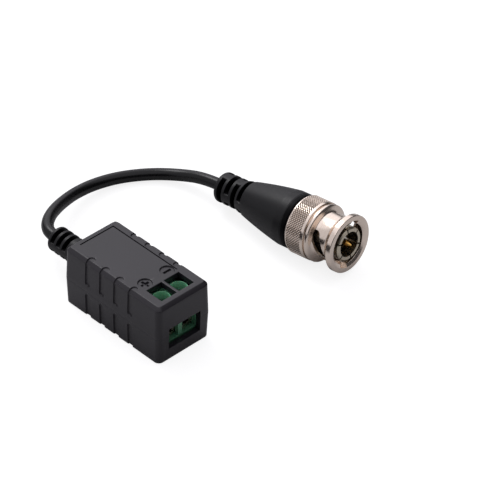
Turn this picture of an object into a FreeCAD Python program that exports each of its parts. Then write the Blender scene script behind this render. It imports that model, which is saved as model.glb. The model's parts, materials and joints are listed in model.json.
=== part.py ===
import FreeCAD, Part
import math
import os

from FreeCAD import Placement, Rotation, Vector

# Passive video balun: a two-pole screw terminal housing, a short coaxial cord and a bayonet plug.
# Millimetres. The origin lies on the table under the middle of the housing, +X points to the
# terminal window and +Z up. The plug is modelled along its own +X axis and then put in its place.

# Housing
HOUSING_L = 30.6
HOUSING_W = 15.5
HOUSING_H = 15.35
PARTING_Z = 7.05
DRAFT_DEG = 1.64
CORNER_R = 1.3
TOP_CHAMFER = 0.8
FOOT_BREAK = 0.25
WALL = 1.2
ROOF = 1.4
FLOOR = 1.2
LIP_H = 0.8
LIP_T = 0.6

# Window for the wires and holes for the screwdriver
WINDOW_W = 9.3
WINDOW_H = 5.5
ACCESS_L = 4.75
ACCESS_W = 4.35

# Grip channels, lines and marks
CHANNEL_COUNT = 4
GRIP_X = -0.8
CHANNEL_PITCH = 4.55
CHANNEL_W = 1.5
CHANNEL_DEPTH = 0.3
CHANNEL_GAP = 1.6
CHANNEL_RUN = 0.45
MARK_W = 0.28
MARK_DEPTH = 0.25
LINE_EDGE_X = 1.05
LINE_EDGE_Y = 1.65
LINE_GAP = 0.9
LINE_SHORT_L = 9.7
SIGN_R = 1.6
SIGN_SINK = 0.2
SIGN_GAP = 0.5
SIGN_SPREAD = 6.5
SIGN_BAR_L = 2.0
SIGN_BAR_W = 0.5

# Circuit board
BOARD_T = 1.6
BOARD_BACK = 3.5
BOARD_LEDGE_H = 0.4
BOARD_LEDGE_W = 0.9
POST_R = 1.0
POST_SETBACK = 1.6

# Screw terminal block
POLE_PITCH = 5.08
POLES = 2
BLOCK_D = 7.6
BLOCK_FLOOR = 0.7
TOWER_R = 2.4
TOWER_H = 1.6
TOWER_GAP = 0.15
FUNNEL_L = 0.6
FUNNEL_RIM = 0.2
SCREW_SETBACK = 3.2
ENTRY_W = 3.9
ENTRY_H = 4.0
SCREW_R = 1.25
HEAD_R = 1.75
HEAD_H = 1.5
SLOT_W = 0.6
SLOT_DEPTH = 0.7
HEAD_LEDGE = 1.2
CAGE_W = 3.9
CAGE_D = 4.0
CAGE_H = 3.8
CAGE_WALL = 0.7
CAGE_TOP = 1.05
CAGE_TRAVEL = 1.15
BAR_T = 0.5
BAR_W = 2.0
PIN_W = 1.0
PIN_T = 0.5
PIN_FLOOR_GAP = 0.15

# Balun transformer and chips
CORE_OUT_R = 3.4
CORE_IN_R = 1.7
CORE_H = 3.6
WINDING_T = 0.5
WINDING_SPAN_DEG = 150.0
CORE_GAP = 1.2
CHIP_GAP = 0.8
SUPPRESSOR = (2.4, 4.0, 2.1)
CAPACITOR = (1.6, 3.2, 1.3)
RESISTOR = (1.25, 2.0, 0.6)

# Cord and strain relief
CABLE_R = 1.45
INSULATION_R = 0.8
CONDUCTOR_R = 0.25
BRAID_R = 0.28
STRIP_L = 1.4
PAD_RUN = 1.2
RELIEF_L = 11.2
RELIEF_R = 3.0
RELIEF_END_R = 0.6
RELIEF_NECK_R = 2.4
RELIEF_FLANGE_R = 3.1
RELIEF_FLANGE_T = 1.3
RELIEF_SLOTS = 3
RELIEF_SLOT_X0 = 5.3
RELIEF_SLOT_W = 1.1
RELIEF_SLOT_PITCH = 1.9
RELIEF_WEB_H = 1.6
SLEEVE_T = 0.35

# Plug: where the rear of its nut lies, its turn about +Z and how far its nose is lifted
PLUG_X = 7.547
PLUG_Y = 44.309
PLUG_YAW_DEG = 4.5
PLUG_LIFT_DEG = 5.0
PLUG_CLEAR = 0.16

# Coupling nut
NUT_R = 7.0
NUT_L = 13.3
NUT_WALL = 0.95
NUT_EDGE = 0.25
KNURL_L = 5.2
KNURL_FROM = 0.45
KNURL_TO = 4.45
KNURL_SINK = 0.11
KNURL_GROOVE_W = 0.35
KNURL_GROOVE_DEPTH = 0.6
SHOULDER_L = 0.65
SHOULDER_STEP = 0.1
SHOULDER_EDGE = 0.25
SHOULDER_FALL = 0.9
SLEEVE_L = 3.0
SLEEVE_WALL = 0.55
FLARE_L = 1.9
NOSE_R = 6.9
NUT_BORE_GAP = 0.25
MOUTH_R = 5.7
MOUTH_L = 0.4
BAYONET_W = 2.3
BAYONET_R = 5.7
BAYONET_ENTRY_DEG = 66.0
BAYONET_TURN_DEG = 96.0
BAYONET_RAMP_X = 11.3
BAYONET_END_X = 7.4

# Retaining ring, washers and body of the plug
RING_X = 0.6
RING_T = 0.6
RING_BITE = 0.35
RING_SHOW = 1.05
WASHER_T = 0.45
SPRING_L = 1.3
SPRING_BAND = 0.9
SPRING_WAVES = 3
SPRING_T = 0.3
SPRING_PARTS = 36
FLANGE_T = 1.1
BARREL_R = 4.25
BARREL_L = 9.5
HUB_L = 1.2
CONTACT_R = 4.05
CONTACT_BORE_R = 3.05
CONTACT_X1 = 13.2
CONTACT_EDGE = 0.25
SLIT_COUNT = 6
SLIT_FIRST_DEG = 35.0
SLIT_W = 0.35
SLIT_L = 5.2
INSULATOR_X1 = 7.3
INSULATOR_REAR_L = 5.0
PIN_ROOT_R = 0.95
PIN_R = 0.675
PIN_X1 = 13.7
PIN_POINT_L = 1.2
PIN_CUP_L = 3.0
GASKET_T = 0.45
GASKET_L = 1.0
FERRULE_R = 2.3
FERRULE_L = 4.0
FERRULE_WALL = 0.4

# Moulded boot
BOOT_L = 24.6
BOOT_GAP = 0.3
BOOT_R = 6.65
BOOT_LIP_L = 3.6
BOOT_LIP_EDGE = 0.4
BOOT_WAIST_R = 5.5
BOOT_WAIST_X = 10.5
BOOT_TAIL_R = 3.65
BOOT_TAIL_L = 6.3
BOOT_END_R = 0.7
BOOT_SLOTS = 4
BOOT_SLOT_X0 = 1.2
BOOT_SLOT_W = 1.25
BOOT_SLOT_PITCH = 2.1
BOOT_WEB = 2.2

# Clearances
RUN = 0.05
FIT = 0.05
SEAT = 0.06
BOARD_GAP = 0.25
WIDE = 0.15

# The cord's route, chosen by hand, from the strain relief round to the plug. Its last two points
# lie on the plug's axis and are worked out from it.
CORD_ROUTE = [
    (-26.5, 0.0, 7.05),
    (-28.9, 0.0, 7.05),
    (-31.4, 1.4, 6.95),
    (-33.8, 4.2, 6.55),
    (-36.0, 8.0, 5.65),
    (-38.0, 12.4, 4.45),
    (-39.6, 17.2, 3.3),
    (-40.1, 23.3, 2.4),
    (-38.7, 30.2, 1.75),
    (-34.8, 36.7, 1.55),
    (-29.1, 40.8, 2.3),
]
CORD_LAST_RUN = 5.35
ARC_SHARE = 0.45

# Worked out from the sizes above
X_FRONT = HOUSING_L / 2
X_BACK = -X_FRONT
HALF_W = HOUSING_W / 2
SLOPE = math.tan(math.radians(DRAFT_DEG))
TOP_INSET = (HOUSING_H - PARTING_Z) * SLOPE
CAVITY_X = X_FRONT - TOP_INSET - WALL
CAVITY_Y = HALF_W - TOP_INSET - WALL
CAVITY_R = max(CORNER_R - WALL / 2, 0.4)
ROOF_Z = HOUSING_H - ROOF
TOP_X = X_FRONT - TOP_INSET - TOP_CHAMFER
TOP_Y = HALF_W - TOP_INSET - TOP_CHAMFER

BLOCK_X1 = CAVITY_X - SEAT
BLOCK_X0 = BLOCK_X1 - BLOCK_D
BOARD_Z0 = FLOOR + BOARD_LEDGE_H
BOARD_Z1 = BOARD_Z0 + BOARD_T
BOARD_X1 = BLOCK_X1 - WIDE
BOARD_X0 = -CAVITY_X + BOARD_BACK
TOWER_Z1 = ROOF_Z - TOWER_GAP
BLOCK_Z1 = TOWER_Z1 - TOWER_H
SCREW_X = BLOCK_X1 - SCREW_SETBACK
POLE_Y = [(i - (POLES - 1) / 2) * POLE_PITCH for i in range(POLES)]
POLE_NAMES = ["plus", "minus"]
ACCESS_X0 = SCREW_X - ACCESS_L / 2
SIGN_X = ACCESS_X0 - SIGN_GAP - SIGN_R
WINDOW_Z0 = BOARD_Z1

CHAMBER_Z0 = BOARD_Z1 + BLOCK_FLOOR
CAGE_Z0 = CHAMBER_Z0 + RUN
CAGE_Z1 = CAGE_Z0 + CAGE_H
CHAMBER_Z1 = CAGE_Z1 + CAGE_TRAVEL + RUN
HEAD_Z0 = CHAMBER_Z1 + HEAD_LEDGE + RUN
HEAD_Z1 = HEAD_Z0 + HEAD_H
BAR_Z1 = CAGE_Z1 - CAGE_TOP - WIDE
BAR_Z0 = BAR_Z1 - BAR_T
CHAMBER_X0 = SCREW_X - CAGE_D / 2 - WIDE
CHAMBER_X1 = SCREW_X + CAGE_D / 2 + WIDE
PIN_X = CHAMBER_X0 - PIN_T / 2 - WIDE * 2

RELIEF_X0 = X_BACK - RELIEF_L
FLANGE_X0 = -CAVITY_X + FIT
FLANGE_X1 = FLANGE_X0 + RELIEF_FLANGE_T
JACKET_X1 = FLANGE_X1 + STRIP_L
PAD_X = JACKET_X1 + STRIP_L + PAD_RUN

CHIP_X = BLOCK_X0 - CHIP_GAP - SUPPRESSOR[0] / 2
CORE_X = CHIP_X - SUPPRESSOR[0] / 2 - CORE_GAP - FIT - WINDING_T - CORE_OUT_R
CORE_Z0 = BOARD_Z1 + WINDING_T + FIT

WASHER_X = RING_X + RING_T + RUN
SPRING_X = WASHER_X + WASHER_T + RUN
FLANGE_X = SPRING_X + SPRING_L + RUN
HUB_X = FLANGE_X + FLANGE_T
HUB_X1 = HUB_X + HUB_L
CHAMBER_R = NUT_R - NUT_WALL
FLANGE_OUT_R = CHAMBER_R - RUN
RING_OUT_R = CHAMBER_R + RING_BITE
RING_IN_R = CHAMBER_R - RING_SHOW
GASKET_OUT_R = BARREL_R + GASKET_T
NUT_BORE_R = GASKET_OUT_R + NUT_BORE_GAP
SLEEVE_R = NUT_BORE_R + SLEEVE_WALL

PLUG_LIFT = math.radians(PLUG_LIFT_DEG)
PLUG_Z = PLUG_CLEAR + NUT_R * math.cos(PLUG_LIFT)
PLUG_TURN = Rotation(Vector(0, 0, 1), PLUG_YAW_DEG).multiply(
    Rotation(Vector(0, 1, 0), -PLUG_LIFT_DEG)
)
PLUG_AT = Placement(Vector(PLUG_X, PLUG_Y, PLUG_Z), PLUG_TURN)
X_AXIS = Vector(1, 0, 0)
ORIGIN = Vector(0, 0, 0)


def box(x0, x1, y0, y1, z0, z1):
    """A block between two corners."""
    return Part.makeBox(x1 - x0, y1 - y0, z1 - z0, Vector(x0, y0, z0))


def rod(radius, x0, x1, y=0.0, z=0.0):
    """A cylinder along X."""
    return Part.makeCylinder(radius, x1 - x0, Vector(x0, y, z), X_AXIS)


def tube(outer, inner, x0, x1):
    """A ring or sleeve along X, on the axis."""
    return rod(outer, x0, x1).cut(rod(inner, x0 - 1, x1 + 1))


def post(radius, x, y, z0, z1):
    """An upright cylinder."""
    return Part.makeCylinder(radius, z1 - z0, Vector(x, y, z0))


def rounded_wire(z, half_x, half_y, radius):
    """A rectangle with round corners at height z."""
    edges = []
    corners = [(1, -1, 0), (1, 1, 90), (-1, 1, 180), (-1, -1, 270)]
    starts = []
    for sign_x, sign_y, turn in corners:
        centre = Vector(sign_x * (half_x - radius), sign_y * (half_y - radius), z)
        angles = [math.radians(turn - 90 + step) for step in (0, 45, 90)]
        starts.append([centre + Vector(radius * math.cos(a), radius * math.sin(a), 0) for a in angles])
    for i, arc in enumerate(starts):
        edges.append(Part.Arc(*arc).toShape())
        edges.append(Part.LineSegment(arc[2], starts[(i + 1) % 4][0]).toShape())
    return Part.Wire(edges)


def ruled_block(levels):
    """A solid through rounded rectangles, each (z, half x, half y, radius)."""
    return Part.makeLoft([rounded_wire(*level) for level in levels], True, True)


def turned(points):
    """A solid turned about the X axis from (x, radius) points, closed along the axis."""
    first = Vector(points[0][0], 0, 0)
    last = Vector(points[-1][0], 0, 0)
    outline = [first] + [Vector(x, r, 0) for x, r in points] + [last, first]
    path = [outline[0]]
    for p in outline[1:]:
        if p.distanceToPoint(path[-1]) > 1e-6:
            path.append(p)
    face = Part.Face(Part.makePolygon(path))
    return face.revolve(ORIGIN, X_AXIS, 360)


def inset(z):
    """How far the drafted side has moved in at height z."""
    return abs(z - PARTING_Z) * SLOPE


def outer_y(z):
    """Half the housing's width at height z."""
    over = max(0.0, z - (HOUSING_H - TOP_CHAMFER))
    return HALF_W - inset(z) - over


def side_band(x0, x1, z0, z1, inner, outer, side):
    """A slab on one long side between two offsets from the housing's outline."""
    breaks = [PARTING_Z, HOUSING_H - TOP_CHAMFER]
    heights = [z0] + [z for z in breaks if z0 < z < z1] + [z1]
    out = [Vector(x0, side * (outer_y(z) + outer), z) for z in heights]
    back = [Vector(x0, side * (outer_y(z) + inner), z) for z in reversed(heights)]
    face = Part.Face(Part.makePolygon(out + back + [out[0]]))
    return face.extrude(Vector(x1 - x0, 0, 0))


def channel_places():
    """The X of the middle of each grip channel."""
    return [GRIP_X + (i - (CHANNEL_COUNT - 1) / 2) * CHANNEL_PITCH for i in range(CHANNEL_COUNT)]


def channels(end_z, open_z):
    """Cutters for the grip channels on both long sides, from a round end to an open one."""
    half = CHANNEL_W / 2
    middle = end_z + math.copysign(half, open_z - end_z)
    cuts = []
    for x in channel_places():
        outline = box(x - half, x + half, -HOUSING_W, HOUSING_W, *sorted((middle, open_z)))
        end = Part.makeCylinder(half, 2 * HOUSING_W, Vector(x, -HOUSING_W, middle), Vector(0, 1, 0))
        for side in (-1, 1):
            band = side_band(x - half, x + half, *sorted((end_z, open_z)), -CHANNEL_DEPTH, WALL, side)
            cuts.append(band.common(outline.fuse(end)))
    return cuts


def window():
    """Cutter for the wire window in the front wall."""
    x0 = X_FRONT - TOP_INSET - WALL - 0.5
    return box(x0, X_FRONT + 1, -WINDOW_W / 2, WINDOW_W / 2, WINDOW_Z0, WINDOW_Z0 + WINDOW_H)


def cable_hole():
    """Cutter for the neck of the strain relief in the back wall."""
    return rod(RELIEF_NECK_R + FIT, X_BACK - 1, FLANGE_X0, 0, PARTING_Z)


def sign_bar(y, along_x, along_y):
    """Cutter for one bar of a polarity mark."""
    z0 = HOUSING_H - SIGN_SINK - MARK_DEPTH
    half_x = along_x / 2
    half_y = along_y / 2
    return box(SIGN_X - half_x, SIGN_X + half_x, y - half_y, y + half_y, z0, HOUSING_H + 1)


def channel_top(x, side):
    """Cutter for the round end of a grip channel in the top."""
    half = CHANNEL_W / 2
    y0 = outer_y(HOUSING_H) - CHANNEL_RUN
    z0 = HOUSING_H - MARK_DEPTH
    ends = sorted((side * y0, side * HALF_W))
    run = box(x - half, x + half, *ends, z0, HOUSING_H + 1)
    return run.fuse(post(half, x, side * y0, z0, HOUSING_H + 1))


def top_marks():
    """Cutters for everything incised in the top."""
    z0 = HOUSING_H - MARK_DEPTH
    half = MARK_W / 2
    corner_x = -TOP_X + LINE_EDGE_X
    corner_y = TOP_Y - LINE_EDGE_Y
    end_x = ACCESS_X0 - LINE_GAP
    long_line = box(corner_x, end_x, corner_y - half, corner_y + half, z0, HOUSING_H + 1)
    short_y = corner_y - LINE_SHORT_L
    short_line = box(corner_x - half, corner_x + half, short_y, corner_y + half, z0, HOUSING_H + 1)
    cuts = [long_line.fuse(short_line)]
    sign_y = SIGN_SPREAD / 2
    cuts += [post(SIGN_R, SIGN_X, y, HOUSING_H - SIGN_SINK, HOUSING_H + 1) for y in (-sign_y, sign_y)]
    cuts.append(sign_bar(-sign_y, SIGN_BAR_L, SIGN_BAR_W).fuse(sign_bar(-sign_y, SIGN_BAR_W, SIGN_BAR_L)))
    cuts.append(sign_bar(sign_y, SIGN_BAR_W, SIGN_BAR_L))
    cuts += [channel_top(x, side) for x in channel_places() for side in (-1, 1)]
    return cuts


def cavity(z0, z1, grow=0.0):
    """The inside of the housing between two heights."""
    size = (CAVITY_X + grow, CAVITY_Y + grow, CAVITY_R + grow)
    return ruled_block([(z0, *size), (z1, *size)])


def housing_top():
    """Upper shell: roof, screwdriver holes, marks, hold-down posts and half the window."""
    edge_z = HOUSING_H - TOP_CHAMFER
    low = (PARTING_Z, X_FRONT, HALF_W, CORNER_R)
    mid = (edge_z, X_FRONT - inset(edge_z), HALF_W - inset(edge_z), CORNER_R)
    top_r = max(CORNER_R - TOP_CHAMFER, CORNER_R / 3)
    top = (HOUSING_H, TOP_X, TOP_Y, top_r)
    shell = ruled_block([low, mid, top])
    shell = shell.cut(channels(PARTING_Z + CHANNEL_GAP, HOUSING_H + 0.2))
    shell = shell.cut(cavity(PARTING_Z - 1, ROOF_Z))
    shell = shell.cut(cavity(PARTING_Z - 1, PARTING_Z + LIP_H + FIT, LIP_T + FIT))
    for y in POLE_Y:
        half_y = ACCESS_W / 2
        hole = box(ACCESS_X0, ACCESS_X0 + ACCESS_L, y - half_y, y + half_y, ROOF_Z - 1, HOUSING_H + 1)
        shell = shell.cut(hole)
    shell = shell.cut(top_marks())
    for side in (-1, 1):
        y = side * (CAVITY_Y - POST_SETBACK)
        x = BOARD_X0 + POST_SETBACK
        shell = shell.fuse(post(POST_R, x, y, BOARD_Z1 + FIT, ROOF_Z + ROOF / 2))
    return shell.cut([window(), cable_hole()]).removeSplitter()


def housing_bottom():
    """Lower shell: floor, board ledges, lip for the joint and half the window."""
    foot_in = inset(0) + FOOT_BREAK
    foot = (0, X_FRONT - foot_in, HALF_W - foot_in, CORNER_R)
    break_in = inset(FOOT_BREAK)
    above = (FOOT_BREAK, X_FRONT - break_in, HALF_W - break_in, CORNER_R)
    join = (PARTING_Z, X_FRONT, HALF_W, CORNER_R)
    shell = ruled_block([foot, above, join])
    shell = shell.cut(channels(PARTING_Z - CHANNEL_GAP / 2, -0.2))
    shell = shell.fuse(cavity(PARTING_Z - LIP_H, PARTING_Z + LIP_H, LIP_T))
    shell = shell.cut(cavity(FLOOR, PARTING_Z + LIP_H + 1))
    for side in (-1, 1):
        inner = side * (CAVITY_Y - BOARD_LEDGE_W)
        outer = side * (CAVITY_Y + WALL / 2)
        y0, y1 = sorted((inner, outer))
        shell = shell.fuse(box(BOARD_X0, BOARD_X1, y0, y1, FLOOR / 2, BOARD_Z0))
    return shell.cut([window(), cable_hole()]).removeSplitter()


def circuit_board():
    """The board, with a drilled hole for each terminal pin."""
    half_y = CAVITY_Y - BOARD_GAP
    board = box(BOARD_X0, BOARD_X1, -half_y, half_y, BOARD_Z0, BOARD_Z1)
    drill_r = math.hypot(PIN_W, PIN_T) / 2 + FIT
    for y in POLE_Y:
        board = board.cut(post(drill_r, PIN_X, y, BOARD_Z0 - 1, BOARD_Z1 + 1))
    return board


def contact(y):
    """Flat contact bar over the wire, bent down into a solder pin."""
    x0 = PIN_X - PIN_T / 2
    x1 = CHAMBER_X1 - WIDE * 2
    bar = box(x0, x1, y - BAR_W / 2, y + BAR_W / 2, BAR_Z0, BAR_Z1)
    pin = box(x0, x0 + PIN_T, y - PIN_W / 2, y + PIN_W / 2, FLOOR + PIN_FLOOR_GAP, BAR_Z0 + BAR_T / 2)
    return bar.fuse(pin).removeSplitter()


def terminal_block():
    """Green moulding: wire entries, clamp chambers and a funnel-mouthed tower over each screw."""
    half_w = POLES * POLE_PITCH / 2
    block = box(BLOCK_X0, BLOCK_X1, -half_w, half_w, BOARD_Z1, BLOCK_Z1)
    block = block.fuse([post(TOWER_R, SCREW_X, y, BLOCK_Z1 - TOWER_H, TOWER_Z1) for y in POLE_Y])
    well_r = HEAD_R + WIDE
    mouth_z = TOWER_Z1 - FUNNEL_L
    for y in POLE_Y:
        half = CAGE_W / 2 + WIDE
        chamber = box(CHAMBER_X0, CHAMBER_X1, y - half, y + half, CHAMBER_Z0, CHAMBER_Z1)
        entry_z0 = CHAMBER_Z0 + RUN
        entry = box(SCREW_X, BLOCK_X1 + 1, y - ENTRY_W / 2, y + ENTRY_W / 2, entry_z0, entry_z0 + ENTRY_H)
        well = post(well_r, SCREW_X, y, HEAD_Z0 - RUN, TOWER_Z1 + 1)
        throat = post(SCREW_R + WIDE, SCREW_X, y, CHAMBER_Z1 - 1, HEAD_Z0)
        funnel = Part.makeCone(well_r, TOWER_R - FUNNEL_RIM, FUNNEL_L, Vector(SCREW_X, y, mouth_z))
        block = block.cut([chamber, entry, well, throat, funnel, contact(y)])
    return block.removeSplitter()


def terminal_screw(y):
    """Slotted clamp screw, held under its head by the moulding."""
    head = post(HEAD_R, SCREW_X, y, HEAD_Z0, HEAD_Z1)
    slot = box(SCREW_X - HEAD_R - 1, SCREW_X + HEAD_R + 1, y - SLOT_W / 2, y + SLOT_W / 2,
               HEAD_Z1 - SLOT_DEPTH, HEAD_Z1 + 1)
    shank = post(SCREW_R, SCREW_X, y, BAR_Z1 + RUN, HEAD_Z0 + HEAD_H / 4)
    return head.cut(slot).fuse(shank).removeSplitter()


def wire_clamp(y):
    """Square loop that rises on the screw and pulls the wire against the contact bar."""
    x0 = SCREW_X - CAGE_D / 2
    x1 = SCREW_X + CAGE_D / 2
    loop = box(x0, x1, y - CAGE_W / 2, y + CAGE_W / 2, CAGE_Z0, CAGE_Z1)
    half = BAR_W / 2 + WIDE
    opening = box(x0 - 1, x1 + 1, y - half, y + half, CAGE_Z0 + CAGE_WALL, CAGE_Z1 - CAGE_TOP)
    hole_z0 = BAR_Z1 - CAGE_TRAVEL - WIDE
    return loop.cut(opening).cut(post(SCREW_R + RUN, SCREW_X, y, hole_z0, CAGE_Z1 + 1))


def upright_ring(outer, inner, z0, z1):
    """A ring about an upright axis at the transformer's place."""
    return post(outer, CORE_X, 0, z0, z1).cut(post(inner, CORE_X, 0, z0 - 1, z1 + 1))


def balun_core():
    """Ferrite ring."""
    return upright_ring(CORE_OUT_R, CORE_IN_R, CORE_Z0, CORE_Z0 + CORE_H)


def winding(middle_deg):
    """One coil, as the sleeve of wire that covers part of the ring."""
    rings = []
    for grow in (WINDING_T + FIT, FIT):
        z0 = CORE_Z0 - grow
        z1 = CORE_Z0 + CORE_H + grow
        rings.append(upright_ring(CORE_OUT_R + grow, CORE_IN_R - grow, z0, z1))
    sleeve = rings[0].cut(rings[1])
    wedge = Part.makeCylinder(CORE_OUT_R * 2, CORE_H * 3, Vector(CORE_X, 0, CORE_Z0 - CORE_H),
                              Vector(0, 0, 1), WINDING_SPAN_DEG)
    wedge.rotate(Vector(CORE_X, 0, 0), Vector(0, 0, 1), middle_deg - WINDING_SPAN_DEG / 2)
    return sleeve.common(wedge)


def chip(size, y):
    """A surface-mounted chip between the transformer and the terminals."""
    along_x, along_y, high = size
    return box(CHIP_X - along_x / 2, CHIP_X + along_x / 2, y - along_y / 2, y + along_y / 2,
               BOARD_Z1, BOARD_Z1 + high)


def bent_wire(points, radius):
    """A round wire along straight runs with a bend at each inner point, its radii and its length."""
    path = [Vector(*p) for p in points]
    edges = []
    radii = []
    at = path[0]
    for before, corner, after in zip(path, path[1:], path[2:]):
        run_in = corner - before
        run_out = after - corner
        turn = run_in.getAngle(run_out)
        cut = ARC_SHARE * min(run_in.Length, run_out.Length)
        bend = cut / math.tan(turn / 2)
        way_in = Vector(run_in).normalize()
        way_out = Vector(run_out).normalize()
        start = corner - way_in * cut
        end = corner + way_out * cut
        inward = (way_out - way_in).normalize()
        middle = corner + inward * (bend / math.cos(turn / 2) - bend)
        edges.append(Part.LineSegment(at, start).toShape())
        edges.append(Part.Arc(start, middle, end).toShape())
        radii.append(bend)
        at = end
    edges.append(Part.LineSegment(at, path[-1]).toShape())
    route = Part.Wire(edges)
    section = Part.Wire(Part.makeCircle(radius, path[0], path[1] - path[0]))
    solid = route.makePipeShell([section], True, False)
    return solid, radii, route.Length


def strain_relief():
    """Ribbed sleeve on the back wall: three slots above and below, webs at the sides."""
    end = RELIEF_END_R
    corner = [(RELIEF_X0 + end * (1 - math.cos(a)), RELIEF_R - end * (1 - math.sin(a)))
              for a in [math.radians(step) for step in (0, 30, 60, 90)]]
    outline = corner + [(X_BACK - FIT, RELIEF_R), (X_BACK - FIT, RELIEF_NECK_R), (FLANGE_X0, RELIEF_NECK_R),
                        (FLANGE_X0, RELIEF_FLANGE_R), (FLANGE_X1, RELIEF_FLANGE_R)]
    body = turned(outline)
    core_r = CABLE_R + SLEEVE_T
    webs = box(RELIEF_X0, X_BACK, -RELIEF_R - 1, RELIEF_R + 1, -RELIEF_WEB_H / 2, RELIEF_WEB_H / 2)
    for i in range(RELIEF_SLOTS):
        x1 = X_BACK - RELIEF_SLOT_X0 - i * RELIEF_SLOT_PITCH
        body = body.cut(tube(RELIEF_R + 1, core_r, x1 - RELIEF_SLOT_W, x1).cut(webs))
    body = body.cut(rod(CABLE_R + FIT, RELIEF_X0 - 1, FLANGE_X1 + 1))
    body.translate(Vector(0, 0, PARTING_Z))
    return body


def cable_inner():
    """The cable from the mouth of the strain relief to where it is stripped inside the housing."""
    jacket = rod(CABLE_R, RELIEF_X0, JACKET_X1, 0, PARTING_Z)
    insulation = rod(INSULATION_R, JACKET_X1 - FIT, JACKET_X1 + STRIP_L, 0, PARTING_Z)
    return jacket.fuse(insulation).removeSplitter()


def conductor():
    """Centre conductor, bent down to its pad on the board."""
    x0 = JACKET_X1 + STRIP_L
    points = [(x0, 0, PARTING_Z), (PAD_X, 0, PARTING_Z), (PAD_X, 0, BOARD_Z1)]
    return bent_wire(points, CONDUCTOR_R)[0]


def braid():
    """Twisted braid, bent down to its pad on the board."""
    z = PARTING_Z - INSULATION_R - FIT - BRAID_R
    x1 = JACKET_X1 + STRIP_L
    return bent_wire([(JACKET_X1, 0, z), (x1, 0, z), (x1, 0, BOARD_Z1)], BRAID_R)[0]


def eased(t):
    """Smooth step from 0 to 1."""
    return t * t * (3 - 2 * t)


def nut_outline():
    """The coupling nut's outline from rear to front, as (x, radius); its knurled band at mean depth."""
    shoulder_r = NUT_R - SHOULDER_STEP
    groove_r = NUT_R - KNURL_GROOVE_DEPTH
    groove_x = KNURL_L + KNURL_GROOVE_W
    knurl_r = NUT_R - KNURL_SINK
    points = [(0, NUT_R - NUT_EDGE), (NUT_EDGE, NUT_R), (KNURL_FROM, NUT_R), (KNURL_FROM, knurl_r)]
    points += [(KNURL_TO, knurl_r), (KNURL_TO, NUT_R), (KNURL_L, NUT_R), (KNURL_L, groove_r)]
    points += [(groove_x, groove_r), (groove_x, shoulder_r - SHOULDER_EDGE)]
    points.append((groove_x + SHOULDER_EDGE, shoulder_r))
    fall_x = groove_x + SHOULDER_L
    steps = 12
    for i in range(steps + 1):
        t = i / steps
        points.append((fall_x + SHOULDER_FALL * t, shoulder_r + (SLEEVE_R - shoulder_r) * eased(t)))
    flare_x = fall_x + SHOULDER_FALL + SLEEVE_L
    for i in range(steps + 1):
        t = i / steps
        points.append((flare_x + FLARE_L * t, SLEEVE_R + (NOSE_R - SLEEVE_R) * t * t))
    points += [(NUT_L - NUT_EDGE, NOSE_R), (NUT_L, NOSE_R - NUT_EDGE)]
    return points


def bayonet_slot(entry_deg):
    """Cutter for one bayonet track: straight in from the front, then a ramp to a round end."""
    half = BAYONET_W / 2
    straight = box(BAYONET_RAMP_X - half, NUT_L + 1, NUT_BORE_R / 2, BAYONET_R, -half, half)
    straight.rotate(ORIGIN, X_AXIS, entry_deg)
    steps = 12
    wires = []
    for i in range(steps + 1):
        t = i / steps
        a = math.radians(entry_deg - BAYONET_TURN_DEG * t)
        x = BAYONET_RAMP_X + (BAYONET_END_X - BAYONET_RAMP_X) * t
        near = Vector(0, math.cos(a), math.sin(a)) * (NUT_BORE_R * 0.8)
        far = Vector(0, math.cos(a), math.sin(a)) * BAYONET_R
        corners = [near + X_AXIS * (x - half), far + X_AXIS * (x - half),
                   far + X_AXIS * (x + half), near + X_AXIS * (x + half)]
        wires.append(Part.makePolygon(corners + [corners[0]]))
    ramp = Part.makeLoft(wires, True, True)
    last = math.radians(entry_deg - BAYONET_TURN_DEG)
    way = Vector(0, math.cos(last), math.sin(last))
    end = Part.makeCylinder(half, BAYONET_R - NUT_BORE_R * 0.6,
                            X_AXIS * BAYONET_END_X + way * (NUT_BORE_R * 0.6), way)
    return straight.fuse([ramp, end])


def coupling_nut():
    """Knurled nut with its washer chamber, ring groove and two bayonet tracks."""
    nut = turned(nut_outline())
    nut = nut.cut(rod(NUT_BORE_R, -1, NUT_L + 1))
    nut = nut.cut(Part.makeCone(NUT_BORE_R, MOUTH_R, MOUTH_L, Vector(NUT_L - MOUTH_L, 0, 0), X_AXIS))
    nut = nut.cut(rod(CHAMBER_R, -1, HUB_X + RUN))
    nut = nut.cut(tube(RING_OUT_R + FIT, CHAMBER_R - 1, RING_X - FIT, RING_X + RING_T + FIT))
    for turn in (0, 180):
        nut = nut.cut(bayonet_slot(BAYONET_ENTRY_DEG + turn))
    return nut


def wave_washer():
    """Thin ring waved along its edge, as a ruled band between waved rims."""
    inner = BARREL_R + WIDE
    outer = inner + SPRING_BAND
    swing = (SPRING_L - SPRING_T) / 2
    wires = []
    for i in range(SPRING_PARTS):
        a = 2 * math.pi * i / SPRING_PARTS
        x = SPRING_X + swing * (1 + math.cos(SPRING_WAVES * a))
        way = Vector(0, math.cos(a), math.sin(a))
        corners = [way * inner + X_AXIS * x, way * outer + X_AXIS * x,
                   way * outer + X_AXIS * (x + SPRING_T), way * inner + X_AXIS * (x + SPRING_T)]
        wires.append(corners)
    faces = []
    for here, there in zip(wires, wires[1:] + wires[:1]):
        for j in range(4):
            k = (j + 1) % 4
            first = [here[j], here[k], there[k]]
            second = [here[j], there[k], there[j]]
            faces += [Part.Face(Part.makePolygon(tri + [tri[0]])) for tri in (first, second)]
    return Part.Solid(Part.Shell(faces))


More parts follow.
